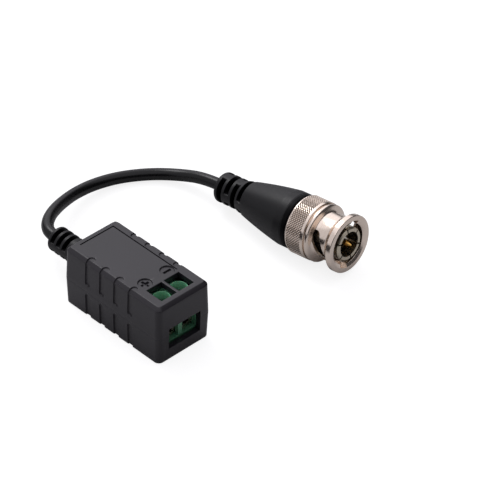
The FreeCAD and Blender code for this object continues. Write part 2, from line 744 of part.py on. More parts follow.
def plug_body():
    """Barrel, flange and slotted outer contact, in one piece."""
    outline = [(-BARREL_L, BARREL_R), (FLANGE_X, BARREL_R), (FLANGE_X, FLANGE_OUT_R), (HUB_X, FLANGE_OUT_R),
               (HUB_X, BARREL_R), (HUB_X1, BARREL_R), (HUB_X1, CONTACT_R),
               (CONTACT_X1 - CONTACT_EDGE, CONTACT_R), (CONTACT_X1, CONTACT_R - CONTACT_EDGE)]
    body = turned(outline).cut(rod(CONTACT_BORE_R, -BARREL_L - 1, CONTACT_X1 + 1))
    for i in range(SLIT_COUNT):
        slit = box(CONTACT_X1 - SLIT_L, CONTACT_X1 + 1, 0, CONTACT_R + 1, -SLIT_W / 2, SLIT_W / 2)
        slit.rotate(ORIGIN, X_AXIS, SLIT_FIRST_DEG + 360 * i / SLIT_COUNT)
        body = body.cut(slit)
    return body


def front_insulator():
    """Dielectric round the centre pin."""
    hole = rod(PIN_ROOT_R + FIT, HUB_X1 - 1, INSULATOR_X1 + 1)
    return rod(CONTACT_BORE_R - FIT, HUB_X1, INSULATOR_X1).cut(hole)


def rear_insulator():
    """Dielectric washer behind it, in the barrel."""
    x0 = HUB_X1 - FIT - INSULATOR_REAR_L
    return rod(CONTACT_BORE_R - FIT, x0, HUB_X1 - FIT).cut(rod(PIN_ROOT_R + FIT, x0 - 1, HUB_X1 + 1))


def centre_pin():
    """Pointed centre pin with its solder cup."""
    root_x = HUB_X1 - FIT - INSULATOR_REAR_L - PIN_CUP_L
    outline = [(root_x, PIN_ROOT_R), (INSULATOR_X1, PIN_ROOT_R), (INSULATOR_X1, PIN_R),
               (PIN_X1 - PIN_POINT_L, PIN_R), (PIN_X1, PIN_R / 3)]
    cup = rod(CONDUCTOR_R + FIT, root_x - 1, root_x + PIN_CUP_L / 2)
    return turned(outline).cut(cup)


def boot_outline():
    """The boot's outline from its tail to its mouth, as (x, radius)."""
    tail_x = -BOOT_L
    end = BOOT_END_R
    points = [(tail_x + end * (1 - math.cos(a)), BOOT_TAIL_R - end * (1 - math.sin(a)))
              for a in [math.radians(step) for step in (0, 30, 60, 90)]]
    flare = Part.BSplineCurve()
    start = Vector(tail_x + BOOT_TAIL_L, BOOT_TAIL_R, 0)
    waist = Vector(-BOOT_WAIST_X, BOOT_WAIST_R, 0)
    mouth = Vector(-BOOT_LIP_L - BOOT_GAP, BOOT_R, 0)
    flare.interpolate([start, waist, mouth])
    points += [(p.x, p.y) for p in flare.discretize(13)]
    points.append((-BOOT_GAP - BOOT_LIP_EDGE, BOOT_R))
    points.append((-BOOT_GAP, BOOT_R - BOOT_LIP_EDGE))
    return points


def plug_boot():
    """Moulded boot: slots turned a quarter from one to the next near its tail."""
    boot = turned(boot_outline())
    core_r = CABLE_R + SLEEVE_T
    reach = BOOT_R
    for i in range(BOOT_SLOTS):
        x0 = -BOOT_L + BOOT_SLOT_X0 + i * BOOT_SLOT_PITCH
        if i % 2:
            web = box(x0 - 1, x0 + BOOT_SLOT_W + 1, -reach, reach, -BOOT_WEB / 2, BOOT_WEB / 2)
        else:
            web = box(x0 - 1, x0 + BOOT_SLOT_W + 1, -BOOT_WEB / 2, BOOT_WEB / 2, -reach, reach)
        boot = boot.cut(tube(reach, core_r, x0, x0 + BOOT_SLOT_W).cut(web))
    boot = boot.cut(rod(BARREL_R + FIT, -BARREL_L, 1))
    boot = boot.cut(rod(FERRULE_R + FIT, -BARREL_L - FERRULE_L - FIT, 1))
    return boot.cut(rod(CABLE_R + FIT, -BOOT_L - 1, 1))


def ferrule():
    """Crimped sleeve between the plug's barrel and the cable."""
    return tube(FERRULE_R, FERRULE_R - FERRULE_WALL, -BARREL_L - FERRULE_L, -BARREL_L - FIT)


def cable_plug_end():
    """The cable from the boot's tail to where it is stripped behind the centre pin."""
    pin_x0 = HUB_X1 - FIT - INSULATOR_REAR_L - PIN_CUP_L
    jacket = rod(CABLE_R, -BOOT_L, -BARREL_L - FERRULE_L / 2)
    insulation = rod(INSULATION_R, -BARREL_L - FERRULE_L / 2 - FIT, pin_x0 - FIT)
    wire = rod(CONDUCTOR_R, pin_x0 - 2 * FIT, pin_x0 + PIN_CUP_L / 2 - FIT)
    return jacket.fuse([insulation, wire]).removeSplitter()


def cord_route():
    """The route's points, with the last two on the plug's axis."""
    tail = PLUG_AT.multVec(Vector(-BOOT_L, 0, 0))
    before = PLUG_AT.multVec(Vector(-BOOT_L - CORD_LAST_RUN, 0, 0))
    return CORD_ROUTE + [tuple(before), tuple(tail)]


def cord():
    """The free stretch of cable, with its radii and volume printed."""
    solid, radii, length = bent_wire(cord_route(), CABLE_R)
    plain = math.pi * CABLE_R ** 2 * length
    print("cord length %.2f, volume %.2f, section x length %.2f" % (length, solid.Volume, plain))
    print("cord radii", [round(r, 1) for r in radii])
    return solid


def in_place(shape):
    """A piece of the plug, moved from its own axis to where the plug lies."""
    moved = shape.copy()
    moved.Placement = PLUG_AT.multiply(moved.Placement)
    return moved


def build():
    """Every node's name and shape."""
    nodes = {
        "housing_top": housing_top(),
        "housing_bottom": housing_bottom(),
        "circuit_board": circuit_board(),
        "terminal_block": terminal_block(),
        "balun_core": balun_core(),
        "winding_balanced": winding(0),
        "winding_coaxial": winding(180),
        "surge_suppressor": chip(SUPPRESSOR, -CAVITY_Y / 2),
        "chip_capacitor": chip(CAPACITOR, CAVITY_Y / 6),
        "chip_resistor": chip(RESISTOR, CAVITY_Y * 2 / 3),
        "strain_relief": strain_relief(),
        "cable_inner": cable_inner(),
        "cable_conductor": conductor(),
        "cable_braid": braid(),
        "cord": cord(),
    }
    for name, y in zip(POLE_NAMES, POLE_Y):
        nodes["terminal_screw_" + name] = terminal_screw(y)
        nodes["wire_clamp_" + name] = wire_clamp(y)
        nodes["contact_" + name] = contact(y)
    washer = tube(FLANGE_OUT_R - WIDE, BARREL_R + WIDE, WASHER_X, WASHER_X + WASHER_T)
    plug = {
        "plug_boot": plug_boot(),
        "crimp_ferrule": ferrule(),
        "cable_plug_end": cable_plug_end(),
        "plug_body": plug_body(),
        "rear_insulator": rear_insulator(),
        "front_insulator": front_insulator(),
        "centre_pin": centre_pin(),
        "gasket": tube(GASKET_OUT_R, BARREL_R + FIT, HUB_X + FIT, HUB_X + FIT + GASKET_L),
        "wave_washer": wave_washer(),
        "thrust_washer": washer,
        "retaining_ring": tube(RING_OUT_R, RING_IN_R, RING_X, RING_X + RING_T),
        "coupling_nut": coupling_nut(),
    }
    for name, shape in plug.items():
        nodes[name] = in_place(shape)
    return nodes


def main():
    """Write one STEP file per node."""
    os.makedirs("parts", exist_ok=True)
    for name, shape in build().items():
        solids = shape.Solids
        print("%-20s solids %d valid %s volume %.2f" % (name, len(solids), shape.isValid(), shape.Volume))
        shape.exportStep("parts/" + name + ".step")


main()
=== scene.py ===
"""Looks of a passive video balun: screw terminal housing, short coaxial cord and bayonet plug."""

import json
import logging
import math
from collections.abc import Callable
from dataclasses import dataclass
from enum import Enum

import bmesh
import bpy
import numpy as np
from mathutils import Matrix, Vector

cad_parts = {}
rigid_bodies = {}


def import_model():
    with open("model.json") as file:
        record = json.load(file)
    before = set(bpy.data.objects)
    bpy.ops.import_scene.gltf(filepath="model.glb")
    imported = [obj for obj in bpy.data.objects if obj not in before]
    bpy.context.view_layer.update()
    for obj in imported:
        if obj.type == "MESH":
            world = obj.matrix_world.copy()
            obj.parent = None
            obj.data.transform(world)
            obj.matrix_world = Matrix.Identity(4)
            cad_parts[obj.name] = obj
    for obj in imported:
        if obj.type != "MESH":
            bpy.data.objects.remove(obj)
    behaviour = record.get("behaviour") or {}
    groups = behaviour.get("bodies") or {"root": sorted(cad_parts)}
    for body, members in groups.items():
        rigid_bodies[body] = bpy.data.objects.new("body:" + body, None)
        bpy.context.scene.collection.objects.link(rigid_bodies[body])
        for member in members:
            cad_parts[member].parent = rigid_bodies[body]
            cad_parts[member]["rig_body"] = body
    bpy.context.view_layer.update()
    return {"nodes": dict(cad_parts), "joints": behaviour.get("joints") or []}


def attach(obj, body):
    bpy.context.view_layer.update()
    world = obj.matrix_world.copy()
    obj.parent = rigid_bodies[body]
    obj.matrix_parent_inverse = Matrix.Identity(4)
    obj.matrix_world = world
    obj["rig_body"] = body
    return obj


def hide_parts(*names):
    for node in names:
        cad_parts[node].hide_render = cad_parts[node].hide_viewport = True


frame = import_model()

LOG = logging.getLogger("balun")
MM = 0.001
Points = np.ndarray
Pair = tuple[float, float]
Triple = tuple[float, float, float]
PARTING_Z = 7.05


# Shapes


def smooth(share: Points) -> Points:
    """Smooth step from 0 to 1: 3 t squared less 2 t cubed, with t held between 0 and 1."""
    t = np.clip(share, 0.0, 1.0)
    return t * t * (3.0 - 2.0 * t)


def grid_lines(low: float, high: float, step: float, zones: list[Triple], must: list[float]) -> Points:
    """Lines of a grid along one axis: the given ones, closer ones in each zone, and even ones between.

    Args:
        low: first line.
        high: last line.
        step: distance between lines outside the zones.
        zones: start, end and step of each zone that needs closer lines.
        must: lines that stay where they are.

    Returns:
        The lines in rising order; none is nearer to an earlier one than 0.45 of its own step.
    """
    kept = np.unique(np.array([low, high, *must]))
    for start, end, fine in [*zones, (low, high, step)]:
        fresh = np.linspace(start, end, max(2, round((end - start) / fine) + 1))
        gap = np.abs(fresh[:, None] - kept[None, :]).min(axis=1)
        kept = np.sort(np.concatenate([kept, fresh[gap > 0.45 * fine]]))
    return kept


def snapped(lines: Points, coarse: Points) -> Points:
    """Each line moved to the nearest coarse one, so that cells between them close up when merged."""
    return coarse[np.abs(lines[:, None] - coarse[None, :]).argmin(axis=1)]


def quads(index: Points, keep: Points | None = None) -> Points:
    """Faces between neighbouring rows and columns of a table of point numbers.

    Args:
        index: table of point numbers.
        keep: which cells get a face; all of them if it is None.

    Returns:
        One row of four point numbers per face.
    """
    cells = np.stack([index[:-1, :-1], index[:-1, 1:], index[1:, 1:], index[1:, :-1]], axis=-1)
    return cells.reshape(-1, 4) if keep is None else cells[keep]


def rounded_path(corners: list[Pair], radii: list[float], steps: int = 4) -> tuple[Points, Points]:
    """A path whose inner corners give way to arcs, each tangent to both runs.

    At a turn of angle a the arc of radius R starts R tan(a / 2) before the corner. Its points are
    its centre plus R times the unit normal, which turns evenly from one run's to the next's.

    Args:
        corners: points of the path; the first and last stay.
        radii: radius at each inner corner, 0 for a sharp one.
        steps: parts that each arc is divided into.

    Returns:
        The points, and the unit normal to the left of the way at each.
    """
    at = np.array(corners, float)
    ways = np.diff(at, axis=0)
    ways /= np.linalg.norm(ways, axis=1)[:, None]
    left = np.stack([-ways[:, 1], ways[:, 0]], axis=1)
    points, normals = [at[:1]], [left[:1]]
    for k, radius in enumerate(radii):
        corner, way_in, way_out = at[k + 1], ways[k], ways[k + 1]
        if radius == 0:
            points += [corner[None], corner[None]]
            normals += [left[k:k + 1], left[k + 1:k + 2]]
            continue
        turn = math.atan2(way_in[0] * way_out[1] - way_in[1] * way_out[0], float(way_in @ way_out))
        side = math.copysign(1.0, turn)
        start = corner - way_in * radius * math.tan(abs(turn) / 2)
        centre = start + side * radius * left[k]
        base = math.atan2(left[k][1], left[k][0])
        angles = base + turn * np.linspace(0, 1, steps + 1)
        normal = np.stack([np.cos(angles), np.sin(angles)], axis=1)
        points.append(centre - side * radius * normal)
        normals.append(normal)
    return np.concatenate([*points, at[-1:]]), np.concatenate([*normals, left[-1:]])


def add_object(name: str, data: bpy.types.ID) -> bpy.types.Object:
    """A new object, linked to the scene.

    Args:
        name: the object's name.
        data: its mesh, curve, camera or lamp.

    Returns:
        The object.
    """
    made = bpy.data.objects.new(name, data)
    bpy.context.scene.collection.objects.link(made)
    return made


def read_all(items: bpy.types.bpy_prop_collection, name: str, kind: type, width: int = 1) -> Points:
    """One property of every item of a mesh's collection, end to end.

    Args:
        items: the collection.
        name: the property's name.
        kind: its type in the array.
        width: how many numbers each item has.

    Returns:
        The numbers, in one row.
    """
    values = np.zeros(len(items) * width, kind)
    items.foreach_get(name, values)
    return values


def mesh_points(mesh: bpy.types.Mesh) -> Points:
    """A mesh's points, one row each, in millimetres."""
    return read_all(mesh.vertices, "co", np.float32, 3).reshape(-1, 3) / MM


def make_piece(name: str, points: Points, faces: list[Points], crease_deg: float = 35.0) -> bpy.types.Object:
    """A mesh object from points and faces, with what coincides merged and its faces turned outwards.

    Args:
        name: the piece's name.
        points: rows of x, y, z in millimetres, in the shared frame.
        faces: tables of point numbers, one row per face.
        crease_deg: edges sharper than this stay crisp.

    Returns:
        The object, at the origin, with its place in its mesh.
    """
    mesh = bpy.data.meshes.new(name)
    corners = np.concatenate([table.ravel() for table in faces]).astype(np.int32)
    sizes = np.concatenate([np.full(len(table), table.shape[1]) for table in faces])
    starts = np.concatenate([[0], np.cumsum(sizes)[:-1]]).astype(np.int32)
    mesh.vertices.add(len(points))
    mesh.vertices.foreach_set("co", (points * MM).astype(np.float32).ravel())
    mesh.loops.add(len(corners))
    mesh.loops.foreach_set("vertex_index", corners)
    mesh.polygons.add(len(sizes))
    mesh.polygons.foreach_set("loop_start", starts)
    mesh.update(calc_edges=True)
    tidy(mesh, crease_deg)
    return add_object(name, mesh)


def mark_painted_shade(piece: bpy.types.Object, share_at: Callable[[Points], Points]) -> None:
    """Give a piece the attribute that lays on its painted shade.

    Args:
        piece: the piece.
        share_at: takes points in millimetres, in the shared frame, to 0 for no painted shade and 1 for full
            painted shade.
    """
    share = piece.data.attributes.new("painted_shade", "FLOAT", "POINT")
    share.data.foreach_set("value", share_at(mesh_points(piece.data)).astype(np.float32))


def tidy(mesh: bpy.types.Mesh, crease_deg: float) -> None:
    """Merge a mesh's doubles, turn its faces outwards and keep its sharp edges crisp.

    Args:
        mesh: the mesh, changed in place.
        crease_deg: edges sharper than this stay crisp.
    """
    work = bmesh.new()
    work.from_mesh(mesh)
    bmesh.ops.remove_doubles(work, verts=work.verts, dist=2e-7)
    bmesh.ops.recalc_face_normals(work, faces=work.faces)
    work.to_mesh(mesh)
    work.free()
    mesh.shade_smooth()
    mesh.set_sharp_from_angle(angle=math.radians(crease_deg))


def turned(profile: Points, angles: Points) -> Points:
    """Points of a profile turned about the X axis: x, r cos a, r sin a.

    Args:
        profile: rows of x and radius; the radius may also be a table with one column per angle.
        angles: the angles a.

    Returns:
        Table of points, profile by angle by three.
    """
    x, radius = profile
    radius = np.broadcast_to(radius if radius.ndim == 2 else radius[:, None], (len(x), len(angles)))
    along = np.broadcast_to(x[:, None], radius.shape)
    return np.stack([along, radius * np.cos(angles), radius * np.sin(angles)], axis=-1)


def circle(count: int) -> Points:
    """Even angles of a full turn, from 0."""
    return np.arange(count) * 2 * math.pi / count


def tube_faces(rows: int, columns: int) -> Points:
    """Faces of a table of points that closes on itself in both directions.

    Args:
        rows: the table's rows.
        columns: the table's columns.

    Returns:
        One row of four point numbers per face.
    """
    index = np.arange(rows * columns).reshape(rows, columns)
    index = np.concatenate([index, index[:1]])
    return quads(np.concatenate([index, index[:, :1]], axis=1))


def joint(name: str) -> dict:
    """A joint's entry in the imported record, by name."""
    return next(entry for entry in frame["joints"] if entry["name"] == name)


@dataclass
class AxisFrame:
    """A frame of a turned piece: X along its axis, Y level, Z up."""

    origin: Points
    axes: Points

    @classmethod
    def of_plug(cls) -> "AxisFrame":
        """The plug's frame, from the rear of the nut, as the nut's joint in the record gives it.

        Returns:
            The frame, with its origin in millimetres.
        """
        turn = joint("nut_turn")
        along = np.array(turn["axis"], float)
        along /= np.linalg.norm(along)
        across = np.cross([0.0, 0.0, 1.0], along)
        across /= np.linalg.norm(across)
        return cls(np.array(turn["pos_m"], float) / MM, np.stack([along, across, np.cross(along, across)]))

    def place(self, points: Points) -> Points:
        """Points of this frame, in the shared frame."""
        return self.origin + points.reshape(-1, 3) @ self.axes

    def own(self, points: Points) -> tuple[Points, Points]:
        """Place along the axis and distance from it, of points in the shared frame."""
        x, y, z = ((points - self.origin) @ self.axes.T).T
        return x, np.hypot(y, z)

    def turn(self) -> Triple:
        """The turn of a pattern that follows the axis, for a Mapping node."""
        return tuple(Matrix(self.axes.tolist()).to_euler())


# Finishes


def linear(colour: str) -> tuple[float, float, float, float]:
    """An sRGB hex colour as linear red, green, blue and alpha.

    Args:
        colour: six hex digits after a #.

    Returns:
        Each channel c is c / 12.92 up to 0.04045, and ((c + 0.055) / 1.055) to the power 2.4 above.
    """
    parts = [int(colour[i:i + 2], 16) / 255 for i in (1, 3, 5)]
    return (*(c / 12.92 if c <= 0.04045 else ((c + 0.055) / 1.055) ** 2.4 for c in parts), 1.0)


def add_node(tree: bpy.types.NodeTree, kind: str, settings: dict | None = None,
             links: dict | None = None) -> bpy.types.Node:
    """Add a node, with its settings and links.

    Args:
        tree: the node tree.
        kind: the node's type name.
        settings: values by property or input name.
        links: output sockets by input name or number.

    Returns:
        The node.
    """
    node = tree.nodes.new(kind)
    for key, value in (settings or {}).items():
        if isinstance(key, str) and hasattr(node, key):
            setattr(node, key, value)
        else:
            node.inputs[key].default_value = value
    for key, socket in (links or {}).items():
        tree.links.new(socket, node.inputs[key])
    return node


class Making(Enum):
    """How a surface was made, which gives it its fine pattern: its grain as noise detail and stretch."""

    SPARK_ERODED_MOULD = (4.0, (1.0, 1.0, 1.0))
    SATIN_MOULD = (2.0, (1.0, 1.0, 1.0))
    TURNED = (2.0, (14.0, 0.6, 0.6))
    BARREL_PLATED = (3.0, (1.0, 1.0, 1.0))
    WOVEN_LAMINATE = (1.0, (1.0, 1.0, 1.0))
    WOUND = (1.0, (0.4, 0.4, 6.0))
    SINTERED = (6.0, (1.0, 1.0, 1.0))


@dataclass(frozen=True)
class Finish:
    """A surface finish: colour, shine, and a grain and a slow variation of real sizes.

    The colour drifts towards the shade and back. The spread is how far the roughness strays with the
    grain, and the last field is the colour of painted shade laid on a piece's hollows, if it has one.
    """

    name: str
    colour: str
    shade: str
    roughness: float
    making: Making
    grain_mm: float
    grain_height_mm: float
    drift_mm: float = 6.0
    spread: float = 0.05
    metallic: float = 0.0
    ior: float = 1.5
    glow: float = 0.0
    coat: float = 0.0
    # Colour of painted shade in a piece's hollows, none if empty.
    painted_shade: str = ""

    def build(self, turn: Triple = (0.0, 0.0, 0.0)) -> bpy.types.Material:
        """The material: noise of the grain's size gives bump and roughness, a slow noise drifts the colour.

        A noise's scale is 1 over twice its real size in metres. Painted shade: where a piece's own attribute
        rises to 1, the colour goes over to the colour of painted shade and the shine falls.

        Args:
            turn: turn of the pattern, for one that follows an axis.

        Returns:
            The material.
        """
        material = bpy.data.materials.new(self.name)
        material.use_nodes = True
        tree = material.node_tree
        shader = tree.nodes["Principled BSDF"]
        detail, stretch = self.making.value
        place = add_node(tree, "ShaderNodeTexCoord").outputs["Object"]
        for settings in ({"Rotation": turn}, {"Scale": stretch}):
            place = add_node(tree, "ShaderNodeMapping", settings, {"Vector": place}).outputs["Vector"]
        grain_noise, drift_noise = (self.grain_mm, detail, 0.55), (self.drift_mm, 3.0, 0.5)
        noises = []
        for size, fine, fade in (grain_noise, drift_noise):
            settings = {"Scale": 1 / (size * MM * 2), "Detail": fine, "Roughness": fade}
            noises.append(add_node(tree, "ShaderNodeTexNoise", settings, {"Vector": place}).outputs["Fac"])
        grain, drift = noises
        blend = add_node(tree, "ShaderNodeMapRange", {"From Min": 0.3, "From Max": 0.7}, {"Value": drift})
        shown = add_node(tree, "ShaderNodeMix",
                         {"data_type": "RGBA", 6: linear(self.colour), 7: linear(self.shade)},
                         {0: blend.outputs["Result"]}).outputs[2]
        limits = {"From Min": 0.25, "From Max": 0.75, "To Min": max(0.02, self.roughness - self.spread),
                  "To Max": min(1.0, self.roughness + self.spread)}
        rough = add_node(tree, "ShaderNodeMapRange", limits, {"Value": grain})
        bump = add_node(tree, "ShaderNodeBump", {"Strength": 1.0, "Distance": self.grain_height_mm * MM},
                        {"Height": grain})
        # Painted shade: darker colour and less shine where the piece's attribute says it lies in shade.
        if self.painted_shade:
            depth = add_node(tree, "ShaderNodeAttribute", {"attribute_name": "painted_shade"}).outputs["Fac"]
            shown = add_node(tree, "ShaderNodeMix", {"data_type": "RGBA", 7: linear(self.painted_shade)},
                             {0: depth, 6: shown}).outputs[2]
            gloss = add_node(tree, "ShaderNodeMapRange", {"To Min": 0.5, "To Max": 0.1}, {"Value": depth})
            tree.links.new(gloss.outputs["Result"], shader.inputs["Specular IOR Level"])
        for name, socket in (("Base Color", shown), ("Roughness", rough.outputs["Result"]),
                             ("Normal", bump.outputs["Normal"])):
            tree.links.new(socket, shader.inputs[name])
        values = {"Metallic": self.metallic, "IOR": self.ior, "Subsurface Weight": self.glow,
                  "Subsurface Scale": 0.8 * MM, "Coat Weight": self.coat, "Coat Roughness": 0.15}
        for name, value in values.items():
            shader.inputs[name].default_value = value
        return material


# Black ABS from a spark-eroded mould: a fine dull grain that spreads highlights into a soft grey.
BLACK_ABS = Finish("black_abs", "#1E1B21", "#19171C", 0.36, Making.SPARK_ERODED_MOULD, 0.12, 0.006, ior=1.46)
# Soft PVC moulded over the cable: satin black, with painted shade, blacker and duller, down in its slots
# and on a band at its mouth next to the nut.
MOULDED_PVC = Finish("moulded_pvc", "#0C0C0E", "#09090B", 0.42, Making.SATIN_MOULD, 0.3, 0.006, ior=1.35,
                     painted_shade="#040405")
# Extruded PVC cable jacket: smoother than the mouldings, so that it shows one long soft highlight.
PVC_JACKET = Finish("pvc_jacket", "#09090B", "#070708", 0.27, Making.SATIN_MOULD, 0.5, 0.004, ior=1.35)
# Nickel on turned brass: warm grey mirror, softened by fine turning marks round its axis, with painted
# shade, dull and dark brown, in the knurl's grooves.
TURNED_NICKEL = Finish("turned_nickel", "#EBDDD0", "#DFD0C2", 0.2, Making.TURNED, 0.25, 0.001, metallic=1.0,
                       painted_shade="#584B42")
# The same plating on small pressed parts: no turning marks, a little duller.
PLATED_BRASS = Finish("plated_brass", "#C9C0AE", "#B8AF9D", 0.28, Making.BARREL_PLATED, 0.2, 0.002,
                      metallic=1.0)
# Gold flash on the pin: a warm yellow mirror.
GOLD_PLATE = Finish("gold_plate", "#E3B463", "#D2A152", 0.22, Making.TURNED, 0.2, 0.001, metallic=1.0)
# Green polyamide: moulded, glossy, with a little light passing through its edges, and painted shade,
# deep green, down in its wells and low on its front at its entries.
GREEN_POLYAMIDE = Finish("green_polyamide", "#6BAE86", "#62A27B", 0.3, Making.SATIN_MOULD, 0.4, 0.004,
                         glow=0.1, painted_shade="#0B2416")
# Zinc-plated steel screws: pale blue-white metal with a fine plated grain.
ZINC_STEEL = Finish("zinc_plated_steel", "#C6CACC", "#B4B9BC", 0.27, Making.BARREL_PLATED, 0.2, 0.003,
                    metallic=1.0)
# Tin on the contact bars: dull silver.
TINNED_BRASS = Finish("tinned_brass", "#B9B9B4", "#A6A6A0", 0.36, Making.BARREL_PLATED, 0.25, 0.003,
                      metallic=1.0)
# Glass cloth in epoxy under green solder resist: glossy, with the weave just visible.
GREEN_LAMINATE = Finish("green_laminate", "#1F5A36", "#194C2D", 0.3, Making.WOVEN_LAMINATE, 0.5, 0.006,
                        coat=0.3)
# Sintered ferrite: dark grey and gritty.
FERRITE = Finish("sintered_ferrite", "#3A3A3C", "#2F2F31", 0.6, Making.SINTERED, 0.15, 0.012)
# Enamelled copper wire, wound close: amber lacquer over copper.
ENAMELLED_COPPER = Finish("enamelled_copper", "#B4632E", "#A15426", 0.3, Making.WOUND, 0.25, 0.03,
                          metallic=1.0)
# Moulded epoxy of the chips: matt black.
EPOXY = Finish("moulded_epoxy", "#26272A", "#1F2023", 0.55, Making.SPARK_ERODED_MOULD, 0.1, 0.004)
# Black dielectric of the plug: smooth, waxy.
DIELECTRIC = Finish("black_dielectric", "#1B1B1D", "#161618", 0.4, Making.SATIN_MOULD, 0.3, 0.003)
# Silicone gasket: matt dark red-brown rubber, nearly black.
GASKET_RUBBER = Finish("silicone_gasket", "#2A1F1E", "#231A19", 0.6, Making.SATIN_MOULD, 0.25, 0.004)
# Spring steel washers: bright, with rolling marks.
SPRING_STEEL = Finish("spring_steel", "#A9ABAD", "#97999B", 0.3, Making.BARREL_PLATED, 0.2, 0.002,
                      metallic=1.0)

NODE_FINISHES = {
    "circuit_board": GREEN_LAMINATE, "terminal_block": GREEN_POLYAMIDE,
    "terminal_screw_plus": ZINC_STEEL, "terminal_screw_minus": ZINC_STEEL,
    "wire_clamp_plus": PLATED_BRASS, "wire_clamp_minus": PLATED_BRASS,
    "contact_plus": TINNED_BRASS, "contact_minus": TINNED_BRASS,
    "balun_core": FERRITE, "winding_balanced": ENAMELLED_COPPER, "winding_coaxial": ENAMELLED_COPPER,
    "surge_suppressor": EPOXY, "chip_capacitor": EPOXY, "chip_resistor": EPOXY,
    "cable_inner": PVC_JACKET, "cable_plug_end": PVC_JACKET,
    "cable_conductor": ENAMELLED_COPPER, "cable_braid": TINNED_BRASS,
    "crimp_ferrule": PLATED_BRASS, "plug_body": PLATED_BRASS, "rear_insulator": DIELECTRIC,
    "front_insulator": DIELECTRIC, "centre_pin": GOLD_PLATE, "gasket": GASKET_RUBBER,
    "wave_washer": SPRING_STEEL, "thrust_washer": SPRING_STEEL, "retaining_ring": SPRING_STEEL,
    "housing_top": BLACK_ABS, "housing_bottom": BLACK_ABS, "strain_relief": MOULDED_PVC,
    "plug_boot": MOULDED_PVC, "cord": PVC_JACKET, "coupling_nut": TURNED_NICKEL,
}


@dataclass
class Paint:
    """The materials, each built once."""

    plug: AxisFrame
    made: dict[str, bpy.types.Material]

    def material(self, finish: Finish) -> bpy.types.Material:
        """The material of a finish; turning marks follow the plug's axis.

        Args:
            finish: the finish.

        Returns:
            The material, built at the first call.
        """
        if finish.name not in self.made:
            turn = self.plug.turn() if finish.making is Making.TURNED else (0.0, 0.0, 0.0)
            self.made[finish.name] = finish.build(turn)
        return self.made[finish.name]

    def dress(self, piece: bpy.types.Object, finish: Finish) -> bpy.types.Object:
        """Give a new piece its finish, in place of any that its mesh brought.

        Args:
            piece: the piece.
            finish: its finish.

        Returns:
            The same piece.
        """
        piece.data.materials.clear()
        piece.data.materials.append(self.material(finish))
        return piece

    def dress_nodes(self) -> None:
        """Give every node its finish."""
        for name, finish in NODE_FINISHES.items():
            for slot in frame["nodes"][name].material_slots:
                slot.material = self.material(finish)


# Housing


@dataclass
class RoundedPlan:
    """Grid lines of a rounded rectangle: straight lines, and corner lines given as a share of the corner.

    In a corner a point with the shares u and v lies at u sqrt(1 - v v / 2), v sqrt(1 - u u / 2) times
    the corner's radius from its centre, which takes the square's two outer sides to the arc.
    """

    across: Points
    aside: Points
    parts: int = 6

    def axis(self, lines: Points) -> tuple[Points, Points, Points]:
        """Side, straight place and corner share of every line along one axis.

        Args:
            lines: the straight lines.

        Returns:
            The side (-1, 0 or 1), the place if it is 0, and the share of the corner if it is not.
        """
        share = np.linspace(0, 1, self.parts + 1)
        none = np.zeros(len(lines))
        ends = np.ones(self.parts + 1)
        side = np.concatenate([-ends, none, ends])
        place = np.concatenate([ends * 0, lines, ends * 0])
        return side, place, np.concatenate([-share[::-1], none, share])

    def size(self) -> tuple[int, int]:
        """How many lines there are along the length and the width, with the corners' own."""
        return tuple(len(lines) + 2 * self.parts + 2 for lines in (self.across, self.aside))

    def loop(self) -> tuple[Points, Points]:
        """Row and column numbers of the lines round the edge, from the low corner and back.

        Returns:
            Row numbers and column numbers.
        """
        rows, columns = self.size()
        first, last = np.arange(rows), np.arange(columns)
        i = np.concatenate([first, np.full(columns - 1, rows - 1), first[-2::-1], np.zeros(columns - 1, int)])
        j = np.concatenate([np.zeros(rows, int), last[1:], np.full(rows - 1, columns - 1), last[-2::-1]])
        return i, j

    def place(self, half: float, slim: float, radius: float, i: Points, j: Points) -> tuple[Points, ...]:
        """Where grid points lie for one size of the rounded rectangle.

        Args:
            half: half its length.
            slim: how much less half its width is.
            radius: radius of its corners.
            i: numbers of the lines along the length.
            j: numbers of the lines along the width.

        Returns:
            x and y, and the corner shares in x and y, which are the outward normal along the edge.
        """
        side_x, place_x, share_x = self.axis(self.across)
        side_y, place_y, share_y = self.axis(self.aside)
        centre_x = np.where(side_x == 0, place_x, side_x * (half - radius))[i]
        centre_y = np.where(side_y == 0, place_y, side_y * (half - slim - radius))[j]
        out_x = share_x[i] * np.sqrt(1 - share_y[j] ** 2 / 2)
        out_y = share_y[j] * np.sqrt(1 - share_x[i] ** 2 / 2)
        return centre_x + radius * out_x, centre_y + radius * out_y, out_x, out_y


